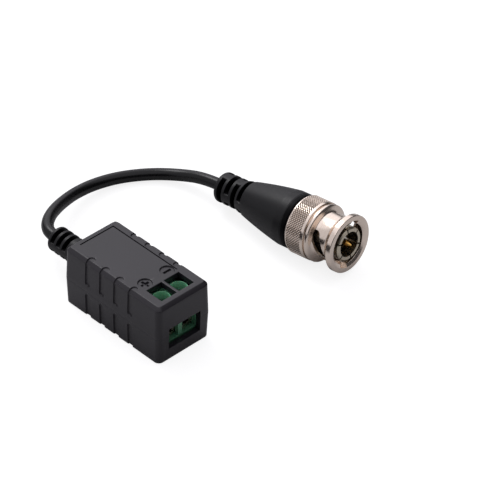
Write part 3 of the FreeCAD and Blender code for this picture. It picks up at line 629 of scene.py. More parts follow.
@dataclass
class Housing:
    """Two moulded half shells with grip channels, driver holes, wire window and incised marks.

    Sizes are in millimetres. A side is the width of the soft step between a cut and what it is cut in.
    Of window_z and channel_ends, the lower shell's comes first. hole_lines are the distances of the
    grid lines over a driver hole's round edge, chamfer_cuts are heights and how deep a channel is
    there, the rounds are the radii of the outline's edges from the flat face on, and the seat is where
    the parting face ends inside.
    """

    length: float = 30.6
    width: float = 15.5
    height: float = 15.35
    slope: float = math.tan(math.radians(1.64))
    corner: float = 1.3
    chamfer: float = 0.8
    foot_break: float = 0.25
    wall: float = 1.2
    roof: float = 1.4
    floor: float = 1.2
    inner_corner: float = 0.7
    window_y: float = 4.65
    window_z: Pair = (3.2, 8.7)
    hole_x: Pair = (8.225, 12.975)
    hole_y: Pair = (0.365, 4.715)
    hole_edge: float = 0.13
    hole_lines: Triple = (0.03, 0.07, 0.13)
    channel_x: tuple[float, ...] = (-7.625, -3.075, 1.475, 6.025)
    channel_half: float = 0.75
    channel_depth: float = 0.3
    channel_ends: Pair = (6.25, 8.65)
    channel_run: float = 0.45
    chamfer_cuts: tuple[Pair, ...] = ((14.2, 0.3), (14.6, 0.215), (15.2, 0.215), (15.35, 0.25))
    side: float = 0.14
    mark_depth: float = 0.25
    mark_half: float = 0.14
    mark_side: float = 0.08
    line_corner: Pair = (-13.21, 5.06)
    line_end_x: float = 7.325
    line_end_y: float = -4.64
    sign_x: float = 6.125
    sign_y: float = 3.25
    sign_r: float = 1.6
    sign_sink: float = 0.3
    bar: Pair = (1.02, 0.27)
    bar_depth: float = 0.38
    bar_side: float = 0.12
    seat_half: float = 14.9
    top_rounds: Triple = (0.25, 0.3, 0.025)
    foot_rounds: Triple = (0.1, 0.15, 0.025)

    def slim(self) -> float:
        """How much less half the width is than half the length."""
        return (self.length - self.width) / 2

    def half_at(self, z: Points) -> Points:
        """Half the length at height z on the drafted wall."""
        return self.length / 2 - np.abs(z - PARTING_Z) * self.slope

    def top_half(self) -> float:
        """Half the length of the flat top."""
        return float(self.half_at(self.height)) - self.chamfer

    def inner_half(self) -> float:
        """Half the length of the inside."""
        return float(self.half_at(self.height)) - self.wall

    def edge_lines(self, edges: list[float], side: float) -> list[float]:
        """Five lines across the soft step at each edge."""
        return [edge + side * k / 4 for edge in edges for k in (-2, -1, 0, 1, 2)]

    def channel_lines(self) -> list[float]:
        """Lines across both sides of every grip channel."""
        edges = [x + way * self.channel_half for x in self.channel_x for way in (-1, 1)]
        return self.edge_lines(edges, self.side)

    def channel_mask(self, x: Points, beyond: Points) -> Points:
        """How far a point lies in a grip channel, 0 to 1, with a round end.

        Args:
            x: places along the housing.
            beyond: how far each point lies past the middle of the round end, 0 before it.

        Returns:
            Smooth step of the distance inside the channel's outline over the width of its side.
        """
        off = np.abs(x[..., None] - np.array(self.channel_x)).min(axis=-1)
        inside = self.channel_half - np.hypot(off, np.maximum(0, beyond))
        return smooth(inside / self.side + 0.5)

    def line_mask(self, x: Points, y: Points) -> Points:
        """The L-shaped line: the larger of two soft-edged bars.

        Args:
            x: places along the housing.
            y: places across it.

        Returns:
            How far each point lies in the line, 0 to 1.
        """
        (cx, cy), half = self.line_corner, self.mark_half
        masks = []
        for x0, x1, y0, y1 in ((cx - half, self.line_end_x, cy - half, cy + half),
                               (cx - half, cx + half, self.line_end_y, cy + half)):
            inside = np.minimum(np.minimum(x - x0, x1 - x), np.minimum(y - y0, y1 - y))
            masks.append(smooth(inside / self.mark_side + 0.5))
        return np.maximum(*masks)

    def sign_masks(self, x: Points, y: Points) -> tuple[Points, Points]:
        """The sunk discs and the bars in them: plus on the -Y side, minus on the other.

        Args:
            x: places along the housing.
            y: places across it.

        Returns:
            How far each point lies in a disc and in a bar, 0 to 1.
        """
        near = np.abs(np.abs(y) - self.sign_y)
        disc = smooth((self.sign_r - np.hypot(x - self.sign_x, near)) / self.side + 0.5)
        long, slim = self.bar
        dx = np.abs(x - self.sign_x)
        upright = np.minimum(slim - dx, long - near)
        level = np.where(y < 0, np.minimum(long - dx, slim - near), -1.0)
        return disc, smooth(np.maximum(upright, level) / self.bar_side + 0.5)

    def top_drop(self, x: Points, y: Points) -> Points:
        """How deep the top is sunk at each point.

        The marks add up: channel ends, L-shaped line, discs and their bars. Round each driver hole
        the edge falls as a quarter circle: R less the root of R squared less (R less distance) squared.

        Args:
            x: places along the housing.
            y: places across it.

        Returns:
            The depth at each point.
        """
        beyond = self.top_half() - self.slim() - self.channel_run - np.abs(y)
        drop = self.mark_depth * np.maximum(self.channel_mask(x, beyond), self.line_mask(x, y))
        disc, bars = self.sign_masks(x, y)
        drop += self.sign_sink * disc + self.bar_depth * bars * disc
        out_x = np.maximum(self.hole_x[0] - x, x - self.hole_x[1])
        out_y = np.maximum(self.hole_y[0] - np.abs(y), np.abs(y) - self.hole_y[1])
        away = np.hypot(np.maximum(0, out_x), np.maximum(0, out_y))
        short = np.clip(self.hole_edge - away, 0, self.hole_edge)
        return drop + self.hole_edge - np.sqrt(self.hole_edge ** 2 - short ** 2 + 1e-12)

    def top_plan(self) -> RoundedPlan:
        """Grid lines of the upper shell, close together where something is cut.

        Returns:
            The plan.
        """
        fine, coarse, (far_x, far_y) = 0.08, 0.8, (13.6, 6.1)
        by_channel, by_sign, rim_y = 0.8, 1.72, 5.42
        x_must, y_holes = [*self.hole_x, *self.channel_lines()], list(self.hole_y)
        for step in self.hole_lines:
            x_must += [self.hole_x[0] - step, self.hole_x[1] + step]
            y_holes += [self.hole_y[0] - step, self.hole_y[1] + step]
        (cx, cy), half = self.line_corner, self.mark_half
        x_must += self.edge_lines([cx - half, cx + half, self.line_end_x], self.mark_side)
        y_must = [-self.window_y, self.window_y, *y_holes, *(-y for y in y_holes)]
        y_must += self.edge_lines([cy - half, cy + half, self.line_end_y], self.mark_side)
        x_zones = [(x - by_channel, x + by_channel, 0.1) for x in self.channel_x]
        x_zones.append((self.sign_x - by_sign, self.sign_x + by_sign, fine))
        y_zones = [(way * self.sign_y - by_sign, way * self.sign_y + by_sign, fine) for way in (-1, 1)]
        y_zones += [(rim_y, far_y, fine), (-far_y, -rim_y, fine)]
        x_lines = grid_lines(-far_x, far_x, coarse, x_zones, x_must)
        return RoundedPlan(x_lines, grid_lines(-far_y, far_y, coarse, y_zones, y_must))

    def bottom_plan(self) -> RoundedPlan:
        """Grid lines of the lower shell, close together at the grip channels.

        Returns:
            The plan.
        """
        fine, coarse, (far_x, far_y) = 0.12, 1.0, (13.4, 6.0)
        by_channel = 0.8
        x_zones = [(x - by_channel, x + by_channel, fine) for x in self.channel_x]
        x_lines = grid_lines(-far_x, far_x, coarse, x_zones, self.channel_lines())
        return RoundedPlan(x_lines, grid_lines(-far_y, far_y, coarse, [], [-self.window_y, self.window_y]))

    def inner_plan(self, plan: RoundedPlan) -> RoundedPlan:
        """A plan's lines, drawn together on the few that the inside needs.

        Args:
            plan: the outside's plan.

        Returns:
            The inside's plan, with as many lines.
        """
        coarse_x = np.array(sorted([*np.linspace(-13.1, 13.1, 12), *self.hole_x]))
        half = [self.hole_y[0], 2.5, self.window_y, self.hole_y[1], 5.5]
        coarse_y = np.array([-y for y in half[::-1]] + half)
        return RoundedPlan(snapped(plan.across, coarse_x), snapped(plan.aside, coarse_y))

    def outer_levels(self, top: bool) -> Points:
        """Rows of half length, height, normal out and normal up, from the flat face to the parting line.

        Two rounded edges of five points each come before the wall, and one after it. The lower shell's
        channels are cut level, so its normals are too.

        Args:
            top: whether this is the upper shell.

        Returns:
            One row per level.
        """
        if top:
            flat, edge, rounds = self.height, self.height - self.chamfer, self.top_rounds
            half = self.top_half()
        else:
            flat, edge, rounds = 0.0, self.foot_break, self.foot_rounds
            half = float(self.half_at(flat)) - edge
        corners = [(half - 1, flat), (half, flat), (float(self.half_at(edge)), edge),
                   (self.length / 2, PARTING_Z), (self.seat_half, PARTING_Z)]
        levels = np.concatenate(rounded_path(corners, list(rounds)), axis=1)[1:-1]
        if not top:
            levels[:, 2:] = (1.0, 0.0)
        edges, seat = levels[:10], levels[10:]
        before, beyond, fine, coarse = 0.1, 0.85, 0.08, 0.9
        way = 1 if top else -1
        z_end = self.channel_ends[top]
        zone = (*sorted((z_end - before * way, z_end + beyond * way)), fine)
        ends = sorted((edges[-1, 1], seat[0, 1]))
        walls = grid_lines(*ends, coarse, [zone], [self.window_z[top]])[1:-1][::-way]
        normals = np.tile(edges[-1, 2:], (len(walls), 1))
        return np.concatenate([edges, np.column_stack([self.half_at(walls), walls, normals]), seat])

    def outer_ring(self, plan: RoundedPlan, level: Points, radius: float, top: bool) -> Points:
        """Edge points of one level of the outside, sunk along its normal where a grip channel runs.

        Args:
            plan: the shell's grid lines.
            level: half length, height, normal out and normal up.
            radius: radius of the corners.
            top: whether this is the upper shell.

        Returns:
            One row per point.
        """
        half, z, out, up = level
        x, y, out_x, out_y = plan.place(half, self.slim(), radius, *plan.loop())
        if top:
            depth = float(np.interp(z, *np.array(self.chamfer_cuts).T))
            beyond = self.channel_ends[1] + self.channel_half - z
        else:
            depth, beyond = self.channel_depth, z - self.channel_ends[0] + self.channel_half
        straight = np.abs(out_y) > 0.999
        sunk = self.channel_mask(x, np.full(len(x), beyond)) * straight * depth
        return np.stack([x - sunk * out * out_x, y - sunk * out * out_y, z - sunk * up], axis=1)

    def driver_holes(self, x: Points, y: Points, index: Points) -> tuple[Points, list[Points]]:
        """The driver holes through the upper shell.

        Args:
            x: table of the outer plate's places along the length.
            y: the same along the width.
            index: table of their point numbers, which the inner plate's follow.

        Returns:
            Which cells of both plates stay closed, and the faces of each hole's wall.
        """
        mid_x, mid_y = (x[:-1, :-1] + x[1:, 1:]) / 2, np.abs(y[:-1, :-1] + y[1:, 1:]) / 2
        closed = ~((mid_x > self.hole_x[0]) & (mid_x < self.hole_x[1])
                   & (mid_y > self.hole_y[0]) & (mid_y < self.hole_y[1]))
        walls = []
        a, b = (int(np.abs(x[:, x.shape[1] // 2] - edge).argmin()) for edge in self.hole_x)
        for way in (-1, 1):
            c, d = sorted(int(np.abs(y[len(y) // 2] - way * edge).argmin()) for edge in self.hole_y)
            rim = np.concatenate([index[a:b + 1, c], index[b, c + 1:d + 1], index[b - 1:a - 1:-1, d],
                                  index[a, d - 1:c:-1], index[a:a + 1, c]])
            walls.append(quads(np.stack([rim, rim + index.size])))
        return closed, walls

    def window(self, plan: RoundedPlan, table: Points, first: int) -> tuple[Points, list[Points]]:
        """The wire window's half in one shell.

        Args:
            plan: the shell's grid lines.
            table: point numbers of the rings, down the outside and up the inside.
            first: row of the table at the window's edge on the outside.

        Returns:
            Which cells of the table stay closed, and the faces of the window's sides and edge.
        """
        x, y, _, _ = plan.place(self.length / 2, self.slim(), self.corner, *plan.loop())
        is_open = (x > self.length / 2 - self.corner) & (np.abs(y) < self.window_y + 1e-6)
        last = len(table) - 2
        closed = np.ones((len(table) - 1, len(x) - 1), bool)
        closed[first:last, is_open[:-1] & is_open[1:]] = False
        spots = np.flatnonzero(is_open)
        outward, inward = table[first:(first + last + 1) // 2], table[last:(first + last) // 2:-1]
        sides = [quads(np.stack([outward[:, spot], inward[:, spot]])) for spot in (spots[0], spots[-1])]
        return closed, [*sides, quads(np.stack([table[first, spots], table[last, spots]]))]

    def shell(self, name: str, top: bool) -> bpy.types.Object:
        """One half shell as a closed mesh.

        A plate of x and y lines is carried down (or up) the outside as a ring of its edge points, over
        the rim, and back up the inside to a second plate with fewer lines. Cells at the driver holes
        and at the window are left open, and strips close their sides.

        Args:
            name: the piece's name.
            top: whether this is the upper shell.

        Returns:
            The piece.
        """
        plan = self.top_plan() if top else self.bottom_plan()
        inner_plan, levels = self.inner_plan(plan), self.outer_levels(top)
        radii = np.full(len(levels), self.corner)
        if top:
            inset = 0.2
            radii = np.interp(levels[:, 0], [self.top_half() - inset, self.top_half() + self.chamfer],
                              [self.corner - self.chamfer - inset, self.corner])
        rows, columns = plan.size()
        i, j = (table.ravel() for table in np.indices((rows, columns)))
        x, y, _, share_y = plan.place(levels[0, 0], self.slim(), radii[0], i, j)
        if top:
            plate = np.stack([x, y, self.height - self.top_drop(x, y)], axis=1)
        else:
            channels = self.channel_mask(x, np.full_like(x, -1.0))
            plate = np.stack([x, y - share_y * self.channel_depth * channels, np.zeros_like(x)], axis=1)
        inside = (self.inner_half(), self.slim(), self.inner_corner)
        inner_x, inner_y, _, _ = inner_plan.place(*inside, i, j)
        inner_z = self.height - self.roof if top else self.floor
        inner_plate = np.stack([inner_x, inner_y, np.full(len(x), inner_z)], axis=1)
        rings = [self.outer_ring(plan, level, radius, top) for level, radius in zip(levels[1:], radii[1:])]
        first_open = int(np.abs(levels[:, 1] - self.window_z[top]).argmin())
        inner_x, inner_y, _, _ = inner_plan.place(*inside, *plan.loop())
        for z in levels[first_open:, 1][::-1]:
            rings.append(np.stack([inner_x, inner_y, np.full(len(inner_x), z)], axis=1))
        index = np.arange(rows * columns).reshape(rows, columns)
        loop = index[plan.loop()]
        table = np.arange(len(rings) * len(loop)).reshape(len(rings), -1) + 2 * len(plate)
        table = np.concatenate([loop[None], table, (loop + len(plate))[None]])
        closed, holes = None, []
        if top:
            closed, holes = self.driver_holes(x.reshape(rows, columns), y.reshape(rows, columns), index)
        walls, window = self.window(plan, table, first_open)
        plates = [quads(index, closed), quads(index + len(plate), closed)]
        faces = [*holes, *plates, quads(table, walls), *window]
        return make_piece(name, np.concatenate([plate, inner_plate, *rings]), faces)

    def build(self, paint: Paint) -> None:
        """Both shells, dressed and riding on the housing.

        Args:
            paint: the materials.
        """
        for name, top in (("housing_top", True), ("housing_bottom", False)):
            piece = paint.dress(self.shell("shell_" + name.split("_")[1], top), BLACK_ABS)
            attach(piece, "housing")
            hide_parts(name)
            LOG.info("%s: %d faces", piece.name, len(piece.data.polygons))


# Terminals


@dataclass
class Terminals:
    """The green terminal moulding with its towers, and the softened metal in it.

    The tower table holds a point's distance from its screw's axis, before and after the towers are
    made slimmer.
    """

    screw_x: float = 10.6
    pole_y: float = 2.54
    shelf_z: float = 12.1
    # Painted shade low on the front: full below the first height, sill_share of it up to the second.
    sill_z: Pair = (3.4, 4.0)
    sill_share: float = 0.55
    tower_reach: float = 2.45
    # The painted shade in the wells reaches this far past their bore.
    well_slack: float = 0.05
    crease_deg: float = 30.0
    rounded_from_deg: float = 40.0
    block_edge: float = 0.08
    metal_edge: float = 0.07
    tower: tuple[Pair, ...] = ((0.0, 0.0), (1.9, 1.7), (2.2, 1.86), (2.4, 2.02), (2.41, 2.41))

    def softened(self, name: str, node: str, width: float) -> bpy.types.Object:
        """A copy of a node with its doubles merged and its edges rounded.

        Args:
            name: the piece's name.
            node: the node that it stands for.
            width: width of the rounding, in millimetres.

        Returns:
            The piece.
        """
        source = frame["nodes"][node]
        mesh = source.data.copy()
        mesh.name = name
        tidy(mesh, self.crease_deg)
        piece = add_object(name, mesh)
        bevel = piece.modifiers.new("edges", "BEVEL")
        bevel.width, bevel.segments = width * MM, 3
        bevel.angle_limit = math.radians(self.rounded_from_deg)
        bevel.harden_normals = False
        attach(piece, source["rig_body"])
        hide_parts(node)
        LOG.info("%s: %d faces before its edges are rounded", name, len(mesh.polygons))
        return piece

    def narrow_towers(self, mesh: bpy.types.Mesh) -> None:
        """Draw the towers' points in towards each screw's axis, by a table of radius before and after.

        Args:
            mesh: the moulding's mesh, changed in place.
        """
        points = mesh_points(mesh)
        middle = np.stack([np.full(len(points), self.screw_x), np.sign(points[:, 1]) * self.pole_y], axis=1)
        out = points[:, :2] - middle
        radius = np.hypot(*out.T)
        fresh = np.interp(radius, *np.array(self.tower).T)
        near = (points[:, 2] > self.shelf_z) & (radius < self.tower_reach)
        share = np.where(near, fresh / np.maximum(radius, 1e-6), 1.0)
        points[:, :2] = middle + out * share[:, None]
        mesh.vertices.foreach_set("co", (points * MM).astype(np.float32).ravel())
        mesh.update()

    def painted_shade(self, points: Points) -> Points:
        """Painted shade: 1 down in the screw wells and below the sill of the wire entries, half on the sill,
        0 elsewhere.

        Args:
            points: rows of x, y, z.

        Returns:
            The share at each point.
        """
        out = np.hypot(points[:, 0] - self.screw_x, np.abs(points[:, 1]) - self.pole_y)
        well = (out < self.tower[1][0] + self.well_slack) & (points[:, 2] < self.shelf_z)
        below, sill = [points[:, 2] < z for z in self.sill_z]
        return np.where(well | below, 1.0, np.where(sill, self.sill_share, 0.0))

    def build(self, paint: Paint) -> None:
        """The moulding, the screws and the clamps.

        Args:
            paint: the materials.
        """
        shell = self.softened("terminal_shell", "terminal_block", self.block_edge)
        # Painted shade down in the screw wells and low on the front below the wire entries.
        mark_painted_shade(shell, self.painted_shade)
        self.narrow_towers(shell.data)
        paint.dress(shell, GREEN_POLYAMIDE)
        for pole in ("plus", "minus"):
            for name, node, slot, finish in (("screw_", "terminal_screw_", "screw_steel", ZINC_STEEL),
                                             ("clamp_", "wire_clamp_", "clamp_metal", PLATED_BRASS)):
                piece = self.softened(name + pole, node + pole, self.metal_edge)
                paint.dress(piece, finish)


# Cord


@dataclass
class RibbedSleeve:
    """A moulded sleeve about an axis, with slots that leave a core and two webs.

    Outline and bore are tables of place along the axis and radius. A slot is its start, its end and its
    web's angle; its sides are soft over the width edge. Painted shade deepens down the slots, and a band
    of painted shade begins at shade_band_x.
    """

    name: str
    node: str
    outline: Points
    bore: Points
    slots: list[Triple]
    core: float
    web_half: float
    # Painted shade: a band of it from this place on, with a soft start shade_band_side wide, and it deepens
    # down the slots over dark_depth.
    shade_band_x: float = math.inf
    shade_band_side: float = 0.1
    dark_depth: float = 0.8
    columns: int = 180
    step: float = 0.35
    apart: float = 0.05
    crease_deg: float = 50.0
    edge: float = 0.16

    def painted_shade(self, x: Points, radius: Points) -> Points:
        """Share of painted shade: how deep in a slot a point lies, and 1 all over the shaded band at the
        mouth.
        """
        depth = np.interp(x, *self.outline) - radius
        return np.maximum(smooth(depth / self.dark_depth), smooth((x - self.shade_band_x) / self.shade_band_side))

    def lines(self) -> Points:
        """Places along the axis: the outline's own, and close ones at each slot's two sides.

        Returns:
            The places in rising order.
        """
        must = []
        for start, end, _ in self.slots:
            for side in (start, end):
                must += [side + self.edge * k / 6 for k in range(-3, 4)]
        low, high = self.outline[0].min(), self.outline[0].max()
        own = [x for x in self.outline[0] if min([abs(x - m) for m in must] + [1]) > self.apart]
        return grid_lines(low, high, self.step, [], [*must, *own])

    def points(self) -> Points:
        """Outer and inner points.

        In a slot the radius goes down to the core, or to where the web's side, at a fixed distance w
        from the web's middle plane, is met: w / |sin(a - web's angle)|. A smooth step over the
        slot's rounded edges joins it to the outline.

        Returns:
            Table of points, along by round by three.
        """
        angles = circle(self.columns)
        x = self.lines()
        plain = np.interp(x, *self.outline)[:, None] + 0 * angles
        radius = plain.copy()
        for start, end, web in self.slots:
            reach = self.web_half / np.maximum(1e-6, np.abs(np.sin(angles - web)))
            floor = np.minimum(plain, np.maximum(self.core, reach)[None, :])
            share = smooth(np.minimum(x - start, end - x) / self.edge + 0.5)[:, None]
            radius += (floor - plain) * share
        return np.concatenate([turned((x, radius), angles), turned(self.bore, angles)])

    def build(self, axis: AxisFrame, paint: Paint) -> bpy.types.Object:
        """The piece, in its place, dressed and riding on the housing.

        Args:
            axis: the sleeve's own frame.
            paint: the materials.

        Returns:
            The piece.
        """
        table = self.points()
        faces = tube_faces(*table.shape[:2])
        piece = make_piece(self.name, axis.place(table), [faces], self.crease_deg)
        # Painted shade down in the slots and on the band at the mouth.
        mark_painted_shade(piece, lambda at: self.painted_shade(*axis.own(at)))
        paint.dress(piece, MOULDED_PVC)
        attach(piece, "housing")
        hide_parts(self.node)
        LOG.info("%s: %d faces", piece.name, len(piece.data.polygons))
        return piece


def round_end(x: float, radius: float, end: float, steps: int = 6) -> list[Pair]:
    """Points of a round end: a quarter circle from the end face to the outline."""
    angles = np.linspace(0, math.pi / 2, steps + 1)
    return [(x + end * (1 - math.cos(a)), radius - end * (1 - math.sin(a))) for a in angles]


@dataclass
class CordSet:
    """Strain relief, free cord and the plug's boot.

    Sizes are in millimetres, the cord's free length in metres; the boot's places count from the rear of
    the nut. The flare is given by three points of its curve.
    """

    cable_r: float = 1.45
    cable_seat_r: float = 1.5
    core_r: float = 1.8
    relief_x: Pair = (-26.5, -15.35)
    relief_r: float = 3.0
    relief_end: float = 0.6
    relief_first: float = -20.6
    relief_slot: float = 1.1
    relief_pitch: float = 1.9
    relief_slots: int = 3
    relief_web: float = 0.8
    boot_x: Pair = (-24.6, -0.3)
    boot_tail_r: float = 3.65
    boot_end: float = 0.7
    boot_first: float = 1.2
    boot_slot: float = 1.25
    boot_pitch: float = 2.1
    boot_slots: int = 4
    boot_web: float = 1.1
    # Start of the band of painted shade at the boot's mouth.
    boot_shade_band_x: float = -1.78
    flare: tuple[Pair, ...] = ((-18.3, 3.65), (-10.5, 5.5), (-3.9, 6.65))
    cord_order: int = 3
    length: float = 0.064

    def strain_relief(self, paint: Paint) -> bpy.types.Object:
        """The sleeve on the back wall: three slots above and below, webs at the sides.

        Args:
            paint: the materials.

        Returns:
            The piece.
        """
        x0, x1 = self.relief_x
        shape = round_end(x0, self.relief_r, self.relief_end)
        shape += [(x1 - 0.12, self.relief_r), (x1 - 0.03, self.relief_r - 0.03), (x1, self.relief_r - 0.12)]
        ends = [self.relief_first - k * self.relief_pitch for k in range(self.relief_slots)]
        slots = [(end - self.relief_slot, end, 0.0) for end in ends]
        bore = np.array([(x1, self.cable_seat_r), (x0, self.cable_seat_r)]).T
        sleeve = RibbedSleeve("relief_sleeve", "strain_relief", np.array(shape).T, bore, slots, self.core_r,
                              self.relief_web)
        return sleeve.build(AxisFrame(np.array([0.0, 0.0, PARTING_Z]), np.eye(3)), paint)

    def boot(self, plug: AxisFrame, paint: Paint) -> bpy.types.Object:
        """The plug's boot: a straight slotted tail, a flare and a lip.

        The flare's radius is the quadratic through three points, and the slots turn a quarter from
        one to the next.

        Args:
            plug: the plug's frame.
            paint: the materials.

        Returns:
            The piece.
        """
        x0, x1 = self.boot_x
        shape = round_end(x0, self.boot_tail_r, self.boot_end)
        knots = np.array(self.flare)
        curve = np.polynomial.Polynomial.fit(*knots.T, 2)
        x = np.linspace(knots[0, 0], knots[-1, 0], 25)
        shape += list(zip(x, curve(x)))
        shape += [(-1.9, 6.65), (-1.84, 6.6), (-1.76, 6.6), (-1.7, 6.65), (x1 - 0.4, 6.65), (x1 - 0.2, 6.6),
                  (x1 - 0.06, 6.45), (x1, 6.25)]
        slots = []
        for k in range(self.boot_slots):
            start = x0 + self.boot_first + k * self.boot_pitch
            slots.append((start, start + self.boot_slot, 0.0 if k % 2 else math.pi / 2))
        bore = np.array([(x1, 4.3), (-9.5, 4.3), (-9.5, 2.35), (-13.55, 2.35), (-13.55, self.cable_seat_r),
                         (x0, self.cable_seat_r)]).T
        sleeve = RibbedSleeve("boot_sleeve", "plug_boot", np.array(shape).T, bore, slots, self.core_r,
                              self.boot_web, shade_band_x=self.boot_shade_band_x)
        return sleeve.build(plug, paint)

    def route(self, plug: AxisFrame) -> list[Triple]:
        """The cord's route, given in metres; its last two points lie on the plug's axis.

        Args:
            plug: the plug's frame.

        Returns:
            The points, from the strain relief to the boot.
        """
        free = [
            (-0.0265, 0.0, 0.00705), (-0.0289, 0.0, 0.00705), (-0.0314, 0.0014, 0.00695),
            (-0.0338, 0.0042, 0.00655), (-0.0360, 0.0080, 0.00565), (-0.0380, 0.0124, 0.00445),
            (-0.0396, 0.0172, 0.0033), (-0.0401, 0.0233, 0.0024), (-0.0387, 0.0302, 0.00175),
            (-0.0348, 0.0367, 0.00155), (-0.0291, 0.0408, 0.0023),
        ]
        ends = plug.place(np.array([(-29.95, 0.0, 0.0), (-24.6, 0.0, 0.0)])) * MM
        return free + [tuple(end) for end in ends]

    def cord(self, plug: AxisFrame, paint: Paint, with_pieces: list[bpy.types.Object]) -> None:
        """The free cord: a NURBS line of third order along its route, as thick as the cable.

        Args:
            plug: the plug's frame.
            paint: the materials.
            with_pieces: the mouldings that the cord goes with; not used.
        """
        points = self.route(plug)
        curve = bpy.data.curves.new("free_cord", "CURVE")
        curve.dimensions = "3D"
        spline = curve.splines.new("NURBS")
        spline.points.add(len(points) - 1)
        spline.points.foreach_set("co", np.array([(*p, 1.0) for p in points]).ravel())
        spline.order_u = self.cord_order
        spline.use_endpoint_u = True
        spline.resolution_u = 12
        curve.bevel_depth = self.cable_r * MM
        curve.bevel_resolution = 7
        curve.use_fill_caps = True
        piece = add_object("free_cord", curve)
        paint.dress(piece, PVC_JACKET)
        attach(piece, "housing")
        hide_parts("cord")


# Plug


@dataclass
class CouplingNut:
    """The nut that turns on the plug: a knurled collar, and a flared nose with two bayonet tracks.

    Sizes are in millimetres, places count from the rear of the nut, and flat_r is the radius at which
    the tracks are drawn unrolled. The real knurl has about 85 diamonds round. It is drawn coarser, with
    66, because finer ones vanish in a small picture.
    """

    radius: float = 7.0
    knurl: Pair = (0.5, 4.42)
    around: int = 66
    rows: int = 6
    samples: int = 8
    groove: float = 0.24
    flat: float = 2.0
    track_half: float = 1.15
    flat_r: float = 5.3
    cutter_r: Pair = (3.8, 5.7)
    mouth_x: float = 14.5
    track_turn_r: float = 1.3
    entries_deg: Pair = (66.0, 246.0)
    ramp_deg: float = -96.0
    ramp_x: float = 11.3
    end_x: float = 7.4
    nose_columns: int = 256
    # Painted shade in the knurl's grooves: how far it reaches past the knurl's ends and starts below the
    # tops, and the radius below which there is none.
    groove_slack: float = 0.05
    groove_r: float = 6.7
    crease_deg: float = 32.0

    def collar_mesh(self) -> tuple[Points, Points]:
        """The collar, as points and faces.

        Two families of V grooves cross: with a and b the angle in grooves plus and less the place in
        rows, a groove's height is 1 less |2 frac(t) less 1|, and the smaller of the two families'
        heights, cut off flat near its top, is the diamond.

        Returns:
            Rows of points in the plug's frame, and faces.
        """
        count = self.around * self.samples
        angles = circle(count)
        start, end = self.knurl
        x = np.linspace(start, end, self.rows * self.samples + 1)
        turn = np.arange(count) / self.samples
        lead = (x - start) / (end - start) * self.rows
        heights = [1 - np.abs(2 * np.mod(turn[None] + way * lead[:, None], 1.0) - 1) for way in (1, -1)]
        diamond = np.minimum(1.0, self.flat * np.minimum(*heights))
        knurled = self.radius - self.groove * (1 - diamond)
        before = [(0.0, 6.72), (0.07, 6.87), (0.16, 6.96), (0.28, 7.0), (0.42, 7.0)]
        after = [(4.5, 7.0), (5.02, 7.0), (5.13, 6.96), (5.2, 6.85)]
        inside = [(5.2, 4.95), (4.25, 4.95), (4.25, 6.05), (1.25, 6.05), (1.25, 6.45), (0.55, 6.45),
                  (0.55, 6.05), (0.0, 6.05)]
        coarse = snapped(angles, angles[::self.samples])
        table = np.concatenate([turned(np.array(before).T, angles), turned((x, knurled), angles),
                                turned(np.array(after).T, angles), turned(np.array(inside).T, coarse)])
        return table.reshape(-1, 3), tube_faces(*table.shape[:2])

    def painted_shade(self, x: Points, radius: Points) -> Points:
        """Share of painted shade: how deep in the knurl's grooves a point lies, as a share of their depth.

        Args:
            x: places along the axis.
            radius: distances from it.

        Returns:
            The share at each point.
        """
        slack = self.groove_slack
        band = (x > self.knurl[0] - slack) & (x < self.knurl[1] + slack) & (radius > self.groove_r)
        return np.clip((self.radius - slack - radius) / (self.groove - slack), 0, 1) * band

    def nose_outline(self) -> Points:
        """Outline of the nose from the collar's groove round to its bore: x and radius.

        The fall from the shoulder is a smooth step, and the flare grows with the square of its length.

        Returns:
            The places in one row, the radii in the other.
        """
        t = np.linspace(0, 1, 15)
        lead, _ = rounded_path([(5.2, 6.4), (5.55, 6.4), (5.55, 6.9), (6.2, 6.9)], [0.08, 0.22])
        fall = np.stack([6.2 + 0.9 * t, 6.9 - 1.4 * smooth(t)], axis=1)
        flare = np.stack([10.1 + 1.9 * t, 5.5 + 1.4 * t * t], axis=1)
        mouth = [(12.0, 6.9), (13.26, 6.9), (13.3, 6.5), (13.3, 5.7), (12.9, 4.95), (5.2, 4.95)]
        rim, _ = rounded_path(mouth, [0.2, 0.3, 0.12, 0.1])
        return np.concatenate([lead[:-1], fall, flare, rim[1:]]).T

    def track_cutter(self, entry_deg: float) -> bpy.types.Object:
        """A cutter for one track, swept along its middle line in the unrolled plane.

        The line runs back from the mouth, turns on an arc and follows a ramp to a round end. A point
        lies half a width to each side of it, and length s round the nut is the angle s / R.

        Args:
            entry_deg: angle of the entry.

        Returns:
            The cutter.
        """
        drop = math.radians(self.ramp_deg) * self.flat_r
        corners = [(self.mouth_x, 0.0), (self.ramp_x, 0.0), (self.end_x, drop)]
        line, left = rounded_path(corners, [self.track_turn_r], 8)
        along = np.linspace(0, 1, 24)[1:, None]
        line = np.concatenate([line[:-1], line[-2] + (line[-1] - line[-2]) * along])
        left = np.concatenate([left[:-1], np.repeat(left[-1:], len(along), axis=0)])
        way = np.array([left[-1, 1], -left[-1, 0]])
        caps = np.linspace(0, math.pi / 2, 7)[1:]
        line = np.concatenate([line, line[-1] + np.sin(caps)[:, None] * way * self.track_half])
        left = np.concatenate([left, np.cos(caps)[:, None] * left[-1]])
        across = np.linspace(-1, 1, 7) * self.track_half
        spot = line[:, None, :] + across[None, :, None] * left[:, None, :]
        angle = math.radians(entry_deg) + spot[..., 1] / self.flat_r
        layers = [np.stack([spot[..., 0], r * np.cos(angle), r * np.sin(angle)], axis=-1)
                  for r in self.cutter_r]
        rows, columns = spot.shape[:2]
        index = np.arange(rows * columns).reshape(rows, columns)
        size = rows * columns
        edge = np.concatenate([index[:, 0], index[-1, 1:], index[-2::-1, -1], index[0, -2::-1]])
        faces = [quads(index), quads(index + size), quads(np.stack([edge, edge + size]))]
        return make_piece("cutter", np.concatenate([layer.reshape(-1, 3) for layer in layers]), faces)

